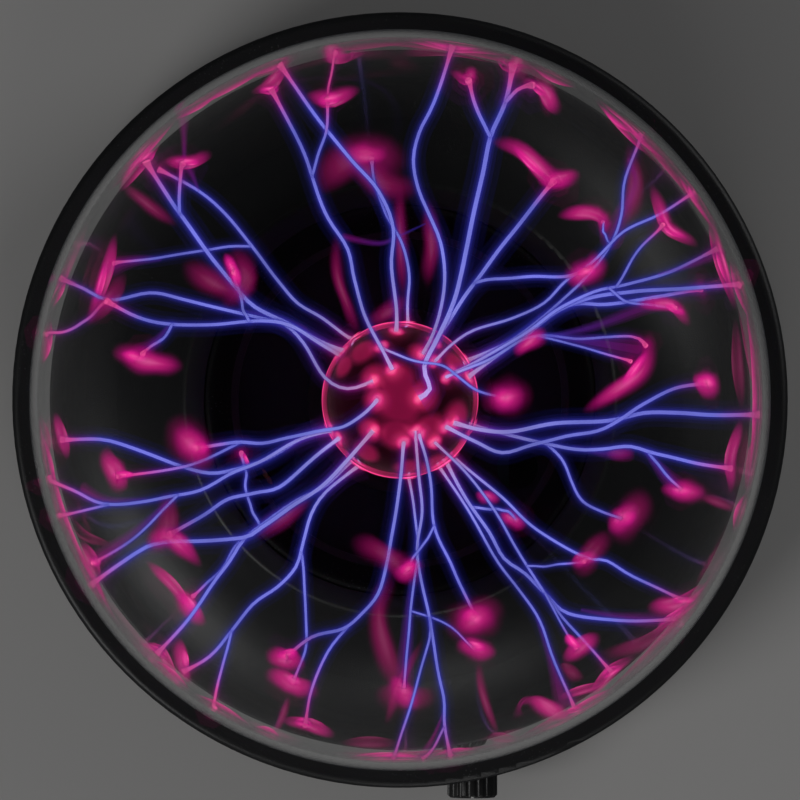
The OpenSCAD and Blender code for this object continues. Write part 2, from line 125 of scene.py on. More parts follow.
def hang(piece, body, material, stands=()):
    piece.data.materials.clear()
    piece.data.materials.append(material)
    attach(piece, body)
    if stands:
        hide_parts(*stands)
    return piece


# shader groups

def newGroup(name, inputs, outputs):
    group = bpy.data.node_groups.new(name, "ShaderNodeTree")
    for label, kind, value in inputs:
        socket = group.interface.new_socket(label, in_out="INPUT", socket_type=kind)
        socket.default_value = value
    for label, kind in outputs:
        group.interface.new_socket(label, in_out="OUTPUT", socket_type=kind)
    return group, group.nodes.new("NodeGroupInput"), group.nodes.new("NodeGroupOutput")


def addNode(tree, kind, values=None, **links):
    node = tree.nodes.new("ShaderNode" + kind)
    for key, value in (values or {}).items():
        if isinstance(key, int) or key in node.inputs:
            node.inputs[key].default_value = value
        else:
            setattr(node, key, value)
    for key, source in links.items():
        index = int(key[1:]) if key[0] == "i" and key[1:].isdigit() else key.replace("_", " ")
        tree.links.new(source, node.inputs[index])
    return node


def makeSurfaceGroup():
    # uneven tone, uneven polish and a fine moulded grain, all in object space
    group, given, out = newGroup("surfaceDetail", [
        ("Colour", "NodeSocketColor", (0.5, 0.5, 0.5, 1)),
        ("Tone", "NodeSocketFloat", 0.1),
        ("Roughness", "NodeSocketFloat", 0.5),
        ("Polish", "NodeSocketFloat", 0.1),
        ("Grain Scale", "NodeSocketFloat", 1500.0),
        ("Mottle Scale", "NodeSocketFloat", 60.0),
    ], [("Colour", "NodeSocketColor"), ("Roughness", "NodeSocketFloat"), ("Height", "NodeSocketFloat")])
    coord = addNode(group, "TexCoord")
    mottle = addNode(group, "TexNoise", {"Detail": 5.0, "Roughness": 0.6},
                     Vector=coord.outputs["Object"], Scale=given.outputs["Mottle Scale"])
    grain = addNode(group, "TexNoise", {"Detail": 2.0, "Roughness": 0.5},
                    Vector=coord.outputs["Object"], Scale=given.outputs["Grain Scale"])
    centred = addNode(group, "Math", {"operation": "SUBTRACT", 1: 0.5}, i0=mottle.outputs["Fac"])
    shift = addNode(group, "Math", {"operation": "MULTIPLY"},
                    i0=centred.outputs[0], i1=given.outputs["Tone"])
    value = addNode(group, "Math", {"operation": "ADD", 1: 1.0}, i0=shift.outputs[0])
    toned = addNode(group, "HueSaturation", Color=given.outputs["Colour"], Value=value.outputs[0])
    uneven = addNode(group, "Math", {"operation": "MULTIPLY_ADD"}, i0=centred.outputs[0],
                     i1=given.outputs["Polish"], i2=given.outputs["Roughness"])
    group.links.new(toned.outputs[0], out.inputs["Colour"])
    group.links.new(uneven.outputs[0], out.inputs["Roughness"])
    group.links.new(grain.outputs["Fac"], out.inputs["Height"])
    return group


def makeDustGroup():
    # fine pale specks and hair scratches that lie on what faces up
    group, given, out = newGroup("dustAndScratches", [
        ("Colour", "NodeSocketColor", (0.5, 0.5, 0.5, 1)),
        ("Dust", "NodeSocketColor", (0.6, 0.6, 0.6, 1)),
        ("Amount", "NodeSocketFloat", 0.3),
        ("Speck Scale", "NodeSocketFloat", 900.0),
        ("Up Only", "NodeSocketFloat", 1.0),
    ], [("Colour", "NodeSocketColor"), ("Mask", "NodeSocketFloat")])
    coord = addNode(group, "TexCoord")
    specks = addNode(group, "TexVoronoi", {"feature": "F1"}, Vector=coord.outputs["Object"],
                     Scale=given.outputs["Speck Scale"])
    dots = addNode(group, "MapRange", {"From Min": 0.12, "From Max": 0.2, "To Min": 1.0, "To Max": 0.0},
                   Value=specks.outputs["Distance"])
    patches = addNode(group, "TexNoise", {"Scale": 70.0, "Detail": 4.0}, Vector=coord.outputs["Object"])
    spread = addNode(group, "MapRange", {"From Min": 0.45, "From Max": 0.7}, Value=patches.outputs["Fac"])
    few = addNode(group, "Math", {"operation": "MULTIPLY"}, i0=dots.outputs[0], i1=spread.outputs[0])
    geometry = addNode(group, "NewGeometry")
    facing = addNode(group, "SeparateXYZ", Vector=geometry.outputs["Normal"])
    up = addNode(group, "MapRange", {"From Min": -0.2, "From Max": 0.8}, Value=facing.outputs["Z"])
    upness = addNode(group, "Mix", {2: 1.0}, i0=given.outputs["Up Only"], i3=up.outputs[0])
    lying = addNode(group, "Math", {"operation": "MULTIPLY"}, i0=few.outputs[0], i1=upness.outputs[0])
    mask = addNode(group, "Math", {"operation": "MULTIPLY", "use_clamp": True},
                   i0=lying.outputs[0], i1=given.outputs["Amount"])
    mixed = addNode(group, "MixRGB", Fac=mask.outputs[0], Color1=given.outputs["Colour"],
                    Color2=given.outputs["Dust"])
    group.links.new(mixed.outputs[0], out.inputs["Colour"])
    group.links.new(mask.outputs[0], out.inputs["Mask"])
    return group


surfaceDetail = makeSurfaceGroup()
dustAndScratches = makeDustGroup()


def useGroup(tree, group, values=None, **links):
    node = tree.nodes.new("ShaderNodeGroup")
    node.node_tree = group
    for key, value in (values or {}).items():
        node.inputs[key].default_value = value
    for key, source in links.items():
        tree.links.new(source, node.inputs[key.replace("_", " ")])
    return node


def newMaterial(name):
    material = bpy.data.materials.new(name)
    material.use_nodes = True
    return material, material.node_tree, material.node_tree.nodes["Principled BSDF"]


def solidFinish(name, colour, roughness=0.5, tone=0.15, polish=0.1, grain=1500.0, bump=0.15,
                mottle=60.0, metal=0.0, dust=0.0, coat=0.0, specular=0.5):
    material, tree, shader = newMaterial(name)
    detail = useGroup(tree, surfaceDetail, {
        "Colour": (*colour, 1), "Tone": tone, "Roughness": roughness, "Polish": polish,
        "Grain Scale": grain, "Mottle Scale": mottle})
    shade = detail.outputs["Colour"]
    if dust:
        dusty = useGroup(tree, dustAndScratches, {"Amount": dust}, Colour=shade)
        shade = dusty.outputs["Colour"]
    tree.links.new(shade, shader.inputs["Base Color"])
    tree.links.new(detail.outputs["Roughness"], shader.inputs["Roughness"])
    relief = addNode(tree, "Bump", {"Strength": bump, "Distance": 0.0002},
                     Height=detail.outputs["Height"])
    tree.links.new(relief.outputs[0], shader.inputs["Normal"])
    shader.inputs["Metallic"].default_value = metal
    shader.inputs["Coat Weight"].default_value = coat
    shader.inputs["Coat Roughness"].default_value = 0.15
    shader.inputs["Specular IOR Level"].default_value = specular
    return material


# solid finishes, one line each

finishes = {
    "black_plastic": dict(colour=(0.014, 0.014, 0.015), roughness=0.42, grain=2200, bump=0.35, dust=0.12,
                          specular=0.45),
    "inner_plastic": dict(colour=(0.02, 0.02, 0.021), roughness=0.55, grain=1400, bump=0.3, dust=0.1),
    "panel_plastic": dict(colour=(0.03, 0.03, 0.032), roughness=0.34, grain=2600, bump=0.2),
    "switch_plastic": dict(colour=(0.012, 0.012, 0.012), roughness=0.2, polish=0.15, grain=900, bump=0.06,
                           coat=0.2),
    "knob_plastic": dict(colour=(0.02, 0.02, 0.02), roughness=0.36, grain=2000, bump=0.25, dust=0.1),
    "black_rubber": dict(colour=(0.017, 0.017, 0.017), roughness=0.78, grain=1100, bump=0.5, dust=0.3,
                         specular=0.3),
    "ivory_nylon": dict(colour=(0.68, 0.64, 0.53), roughness=0.45, grain=700, bump=0.1),
    "lead_silicone": dict(colour=(0.42, 0.02, 0.015), roughness=0.4, grain=500, bump=0.08, coat=0.2),
    "spring_metal": dict(colour=(0.55, 0.54, 0.5), roughness=0.3, metal=1.0, grain=400, bump=0.1),
    "screw_steel": dict(colour=(0.5, 0.5, 0.48), roughness=0.32, metal=1.0, grain=600, bump=0.12),
    "black_steel": dict(colour=(0.035, 0.035, 0.037), roughness=0.42, metal=0.8, grain=800, bump=0.15),
    "bright_steel": dict(colour=(0.62, 0.6, 0.56), roughness=0.24, metal=1.0, grain=500, bump=0.1),
    "brass_tag": dict(colour=(0.7, 0.55, 0.27), roughness=0.3, metal=1.0, grain=500, bump=0.1),
    "microphone_can": dict(colour=(0.66, 0.66, 0.65), roughness=0.28, metal=1.0, grain=500, bump=0.08),
    "board_laminate": dict(colour=(0.01, 0.11, 0.04), roughness=0.3, tone=0.4, grain=1200, bump=0.12,
                           coat=0.4),
    "ferrite": dict(colour=(0.045, 0.045, 0.05), roughness=0.6, grain=900, bump=0.5),
    "potted_coil": dict(colour=(0.035, 0.026, 0.02), roughness=0.35, grain=300, bump=0.3, coat=0.3),
    "enamelled_wire": dict(colour=(0.5, 0.17, 0.05), roughness=0.25, metal=0.9, grain=900, bump=0.4),
    "sink_aluminium": dict(colour=(0.55, 0.55, 0.56), roughness=0.35, metal=1.0, grain=700, bump=0.15),
    "chip_epoxy": dict(colour=(0.018, 0.018, 0.02), roughness=0.55, grain=1500, bump=0.3),
    "capacitor_sleeve": dict(colour=(0.015, 0.03, 0.12), roughness=0.25, grain=400, bump=0.05, coat=0.3),
    "capacitor_epoxy": dict(colour=(0.33, 0.05, 0.025), roughness=0.3, grain=500, bump=0.12, coat=0.3),
    "resistor_body": dict(colour=(0.5, 0.38, 0.22), roughness=0.35, tone=0.5, mottle=900, grain=700,
                          bump=0.1),
    "red_wire": dict(colour=(0.45, 0.015, 0.01), roughness=0.4, grain=700, bump=0.06),
    "yellow_wire": dict(colour=(0.55, 0.38, 0.015), roughness=0.4, grain=700, bump=0.06),
    "black_wire": dict(colour=(0.02, 0.02, 0.02), roughness=0.4, grain=700, bump=0.06),
    "grey_wire": dict(colour=(0.18, 0.18, 0.18), roughness=0.4, grain=700, bump=0.06),
    "electrode_coating": dict(colour=(0.008, 0.006, 0.009), roughness=0.6, tone=0.5, mottle=250, grain=900,
                              bump=0.3, specular=0.1),
}
materials = {slot: solidFinish(slot, **values) for slot, values in finishes.items()}


def glassFinish(name, tint, roughness, dust, bending):
    # polished blown glass, with a little dust that dulls it; less bending makes a quieter mirror
    material, tree, shader = newMaterial(name)
    dusty = useGroup(tree, dustAndScratches, {
        "Colour": (*tint, 1), "Dust": (0.75, 0.75, 0.75, 1), "Amount": dust, "Speck Scale": 500.0})
    tree.links.new(dusty.outputs["Colour"], shader.inputs["Base Color"])
    rough = addNode(tree, "MapRange", {"To Min": roughness, "To Max": 0.35}, Value=dusty.outputs["Mask"])
    tree.links.new(rough.outputs[0], shader.inputs["Roughness"])
    shader.inputs["Transmission Weight"].default_value = 1.0
    shader.inputs["IOR"].default_value = bending
    return material


materials["globe_glass"] = glassFinish("globe_glass", (0.985, 0.99, 0.99), 0.0, 0.05, 1.17)
materials["electrode_glass"] = glassFinish("electrode_glass", (0.97, 0.98, 0.98), 0.02, 0.1, 1.05)

slotOf = {row["node"]: row["material_slot"] for row in frame["record"]["subparts"]}
for nodeName, node in nodes.items():
    node.data.materials.clear()
    node.data.materials.append(materials[slotOf[nodeName]])
print("materials made")


# glass globe: a sphere opened at the bottom, its neck drawn down, then given its wall

globeShape = {"segments": 192, "rings": 128, "neckRadius": 22 * mm}


def openBelow(piece, centre, height):
    # takes away the sphere's bottom and leaves the ring at that height selected
    selectWhere(piece, "FACE", lambda face: face.center.z < height - centre.z)
    bpy.ops.mesh.delete(type="FACE")
    bpy.ops.mesh.select_mode(type="EDGE")
    bpy.ops.mesh.select_all(action="DESELECT")
    bpy.ops.mesh.select_non_manifold()


def levelRing(piece, radius, height):
    # sets the selected ring true, at that radius and height
    bpy.ops.object.mode_set(mode="OBJECT")
    for vert in piece.data.vertices:
        if vert.select:
            flat = Vector((vert.co.x, vert.co.y, 0)).normalized() * radius
            vert.co = (flat.x, flat.y, height)
    bpy.ops.object.mode_set(mode="EDIT")


def makeBlownShell(name, centre, radius, segments, rings, steps, wall):
    # steps are the rings below the sphere as (radius, height in the frame)
    bpy.ops.mesh.primitive_uv_sphere_add(segments=segments, ring_count=rings, radius=radius, location=centre)
    piece = bpy.context.object
    piece.name = name
    editing(piece)
    openBelow(piece, centre, centre.z - math.sqrt(radius ** 2 - steps[0][0] ** 2))
    levelRing(piece, steps[0][0], steps[0][1] - centre.z)
    for ringRadius, height in steps[1:]:
        bpy.ops.mesh.extrude_region_move()
        levelRing(piece, ringRadius, height - centre.z)
    bpy.ops.object.mode_set(mode="OBJECT")
    applyModifier(piece, "SOLIDIFY", thickness=wall, offset=-1, use_even_offset=True)
    return settle(piece)


neckEnd = globeBox[0].z
sphereNeck = globeCentre.z - math.sqrt(globeRadius ** 2 - globeShape["neckRadius"] ** 2)
deselectAll()
glassGlobe = makeBlownShell("glassGlobe", globeCentre, globeRadius, globeShape["segments"],
                            globeShape["rings"],
                            [(globeShape["neckRadius"], sphereNeck)]
                            + [(globeShape["neckRadius"], sphereNeck + (neckEnd - sphereNeck) * k / 5)
                               for k in range(1, 6)], glassWall)
hang(glassGlobe, "lamp", materials["globe_glass"], ["glass_globe"])

bulbShape = {"segments": 128, "rings": 96, "stemRadius": 7 * mm, "flareTop": 60 * mm,
             "flareRadius": 19.9 * mm,
             "rimRadius": 22 * mm, "wall": 1.2 * mm, "ballBending": 1.05, "stemBending": 1.3}
bulbNeck = globeCentre.z - math.sqrt(bulbRadius ** 2 - bulbShape["stemRadius"] ** 2)


def bulbSteps():
    stem, top = bulbShape["stemRadius"], bulbShape["flareTop"]
    down = [(stem, bulbNeck + (top - bulbNeck) * k / 10) for k in range(11)]
    flare = [(stem + (bulbShape["flareRadius"] - stem) * (k / 6) ** 1.4, top + (neckEnd - top) * k / 6)
             for k in range(1, 7)]
    return down + flare + [(bulbShape["rimRadius"], neckEnd - 0.2 * mm)]


deselectAll()
innerBulb = makeBlownShell("innerBulb", globeCentre, bulbRadius, bulbShape["segments"], bulbShape["rings"],
                           bulbSteps(), bulbShape["wall"])
hang(innerBulb, "lamp", materials["electrode_glass"], ["inner_bulb"])

# the stem bends light more than the ball does, so its walls show
glassTree = materials["electrode_glass"].node_tree
heights = addNode(glassTree, "SeparateXYZ")
glassTree.links.new(addNode(glassTree, "TexCoord").outputs["Object"], heights.inputs[0])
stemBending = addNode(glassTree, "MapRange", {
    "From Min": bulbNeck - 4 * mm, "From Max": bulbNeck + 3 * mm, "To Min": bulbShape["stemBending"],
    "To Max": bulbShape["ballBending"]}, Value=heights.outputs["Z"])
glassTree.links.new(stemBending.outputs[0], glassTree.nodes["Principled BSDF"].inputs["IOR"])
print("glass made")


# discharge: every filament as it runs when seen from straight above, in millimetres from the axis
# half is 1 when it lands on the upper half of the globe and -1 for the lower half.
# A branch starts from its parent at the place nearest its first point.

filaments = [
    # upper left
    dict(half=1, route=[(-7, 5), (-14, 3), (-20, 6), (-26, 15), (-31, 20), (-38, 22), (-57, 27), (-67, 29),
                        (-78, 27), (-85, 30), (-92, 33)]),
    dict(half=1, route=[(-16, 12), (-23, 16), (-30, 20), (-37, 21), (-50, 20), (-60, 20), (-69, 22),
                        (-77, 26)], branches=[
        dict(route=[(-77, 26), (-83, 21), (-89, 18.5), (-97, 18)]),
        dict(route=[(-60, 20), (-62, 16), (-67, 12)]),
        dict(route=[(-41, 21), (-42, 27), (-43, 33)])]),
    dict(half=1, route=[(-15, 13), (-22, 16), (-30, 20.5), (-39, 25), (-44, 30), (-50, 37), (-56, 46),
                        (-61, 53), (-67, 63)],
         branches=[dict(route=[(-58, 50), (-58, 56), (-57, 62)])]),
    dict(half=-1, route=[(-10, 14), (-14, 17), (-21, 22), (-28, 26), (-33, 32), (-38, 39), (-42, 44),
                         (-48, 51),
                         (-55, 57), (-67, 64)], branches=[
        dict(route=[(-41, 42), (-47, 42), (-54, 41), (-67, 39), (-80, 38)])]),
    dict(half=1, route=[(-2, 8), (-4, 12), (-9, 22), (-12, 32), (-14, 40), (-19, 48), (-23, 59), (-27, 69),
                        (-34, 82)],
         branches=[dict(route=[(-23, 59), (-22, 64), (-19, 71), (-19, 79)], branches=[
             dict(route=[(-19, 78), (-18.5, 85), (-17, 92)])])]),
    dict(half=1, route=[(-1, 18), (-1, 24), (-2, 35), (-2, 46), (-6, 56), (-13, 64), (-18, 70), (-24, 78),
                        (-32, 89)]),
    dict(half=-1, route=[(2, 19), (2, 28), (2.5, 36), (0, 44), (-4, 52), (-7, 60), (-8, 68)]),
    # upper right
    dict(half=1, route=[(6, 12), (9, 18), (11, 25), (12, 34), (11, 42), (8, 49), (5, 56), (3.5, 64), (5, 71),
                        (9, 79),
                        (14, 94)]),
    dict(half=1, thick=1.35, route=[(5, 0.5), (8, 3), (6.5, 9), (10, 17), (15, 28), (18, 40), (20, 50),
                                    (22, 60), (24, 70), (28, 79),
                        (30, 89)], branches=[
        dict(route=[(24, 71), (21, 75), (19, 80), (18, 84)]),
        dict(route=[(28, 79), (31, 82), (35, 83)])]),
    dict(half=1, route=[(9, 15), (13, 21), (20, 31), (24, 37), (31, 46), (40, 57)], branches=[
        dict(route=[(20, 31), (25, 32), (35, 32), (43, 32), (48, 33.5)])]),
    dict(half=1, route=[(9, 10), (14, 15), (20, 19), (30, 22), (39, 26), (45, 32), (52, 37), (60, 45),
                        (70, 50), (80, 56.5)]),
    dict(half=1, route=[(14, 7), (20, 10), (27, 14), (35, 19), (43, 25), (52, 29), (60, 30.5), (72, 34),
                        (84, 40)],
         branches=[dict(route=[(57, 30), (62, 38), (69, 46)]),
                   dict(route=[(55, 29), (60, 26), (66, 25), (72, 24)])]),
    dict(half=-1, route=[(17, 8), (27, 14), (36, 20), (44, 27), (50, 33), (57, 42), (60, 50), (61, 60),
                         (66, 73)],
         branches=[dict(route=[(58, 40), (56, 46), (57, 50)])]),
    dict(half=1, route=[(18, 6), (26, 12), (34, 18), (43, 24), (52, 27.5), (62, 29), (75, 30), (94, 31.5)]),
    dict(half=-1, route=[(17, 10), (30, 16), (40, 23), (48, 26), (56, 26), (66, 27.5), (84, 31)]),
    dict(half=1, route=[(12, 6), (25, 11.5), (35, 17), (48, 16), (60, 16.5), (64, 14)], branches=[
        dict(route=[(36, 17), (47, 14), (60, 10)])]),
    dict(half=1, thick=0.7, route=[(-5, 14), (2, 11), (10, 9.5), (15, 6), (21, 2), (28, 0.5)]),
    # right
    dict(half=1, route=[(14, -6), (22, -8), (30, -8.5), (42, -6), (56, -5.5), (66, -3.5), (75, -3.5),
                        (85, -4), (98, -4)]),
    dict(half=1, route=[(12, -7), (20, -11), (27, -14), (35, -12), (44, -9.5), (52, -8), (58, -5), (64, -1),
                        (72, 3),
                        (81, 4.5)]),
    dict(half=-1, route=[(17, -6), (28, -9), (38, -11.5), (48, -13.5), (55, -13.5), (63, -12.5), (70, -14.5),
                         (80, -17),
                         (92, -19)], branches=[
        dict(route=[(40, -12), (44, -16), (47, -22), (51, -28), (56, -31), (63, -33.5)]),
        dict(route=[(67, -13), (72, -19), (79, -25.5)])]),
    # lower right
    dict(half=1, route=[(15, -16), (27, -26), (37, -35), (49, -42), (55, -43), (62, -47), (75, -53)]),
    dict(half=1, route=[(9, -11), (17, -19), (24, -28), (30, -38), (36, -48), (42, -56), (48, -63),
                        (56, -72)], branches=[
        dict(route=[(35, -44), (42, -43), (48, -42)]),
        dict(route=[(38, -51), (42, -58), (46, -65)])]),
    dict(half=-1, route=[(12, -16), (18, -27), (24, -36), (28, -43), (34, -47), (40, -53), (46, -58),
                         (60, -60), (76, -60)],
         branches=[dict(route=[(19, -29), (25, -30), (30, -31), (33, -34)])]),
    dict(half=-1, route=[(10, -17), (18, -29), (25, -42), (32, -51), (38, -60), (42, -71), (48, -85)]),
    dict(half=1, route=[(5, -9), (8, -20), (9, -33), (14, -44), (20, -57)], branches=[
        dict(route=[(9, -34), (5, -39), (2, -43.5)])]),
    dict(half=1, route=[(4, -8), (5, -20), (6, -30), (5, -40), (6, -50), (8, -60), (10, -70), (12, -80),
                        (12, -88), (14, -98)],
         branches=[dict(route=[(12, -87), (9, -94), (6, -98)]),
                   dict(route=[(7, -58), (8, -64), (5, -75), (1, -88), (-2, -98)])]),
    dict(half=-1, route=[(2, -18), (4, -30), (5, -39), (4, -48), (3, -58), (2, -68), (1, -82)], branches=[
        dict(route=[(3, -58), (8, -60), (14, -63), (21, -70)])]),
    # lower left
    dict(half=1, route=[(1, -11), (0, -22), (-2, -34), (-4, -44), (-6, -51), (-10, -56), (-15, -60),
                        (-23, -62), (-30, -67)],
         branches=[dict(route=[(-14, -59), (-19, -66), (-23, -76), (-25, -86)])]),
    dict(half=-1, route=[(-10, -16), (-20, -25), (-24, -31), (-26, -38), (-28, -45), (-33, -51), (-40, -56),
                         (-46, -63),
                         (-52, -70), (-60, -75)], branches=[
        dict(route=[(-27, -40), (-26, -50), (-26, -60), (-26, -68), (-28, -74), (-30, -79)]),
        dict(route=[(-46, -63), (-48, -72), (-51, -85)])]),
    dict(half=1, route=[(-7, -8), (-15, -17), (-22, -24), (-30, -29), (-37, -34), (-42, -37), (-55, -38),
                        (-64, -38.5),
                        (-71, -41), (-85, -51)]),
    dict(half=-1, route=[(-12, -15), (-20, -23), (-28, -27), (-36, -33), (-42, -38), (-46, -44), (-51, -50),
                         (-58, -60),
                         (-67, -70)], branches=[
        dict(route=[(-41, -37), (-45, -40), (-50, -48), (-58, -55)]),
        dict(route=[(-38, -33), (-42, -27), (-43, -20), (-45, -15)])]),
    dict(half=1, route=[(-16, -10), (-25, -17), (-32, -23), (-38, -24.5), (-45, -26), (-51, -30),
                        (-60, -35)]),
    # left
    dict(half=1, route=[(-6, 0), (-10, -4), (-15, -7), (-22, -8), (-30, -10), (-36, -11.5), (-43, -11),
                        (-53, -12.5)],
         branches=[dict(route=[(-42, -12), (-52, -16), (-60, -18), (-74, -20)])]),
    dict(half=-1, route=[(-17, -7), (-26, -10), (-36, -16), (-45, -19), (-52, -20), (-60, -18), (-68, -15),
                         (-75, -12.5),
                         (-82, -11), (-94, -11)]),
    dict(half=1, route=[(-18, -8), (-28, -11), (-38, -17), (-46, -20), (-54, -24), (-62, -26), (-70, -27.5),
                        (-80, -28),
                        (-88, -24.5), (-97, -21)], branches=[
        dict(route=[(-79, -28), (-86, -30), (-95, -32)]),
        dict(route=[(-60, -26), (-67, -33), (-74, -39), (-81, -43)])]),
]

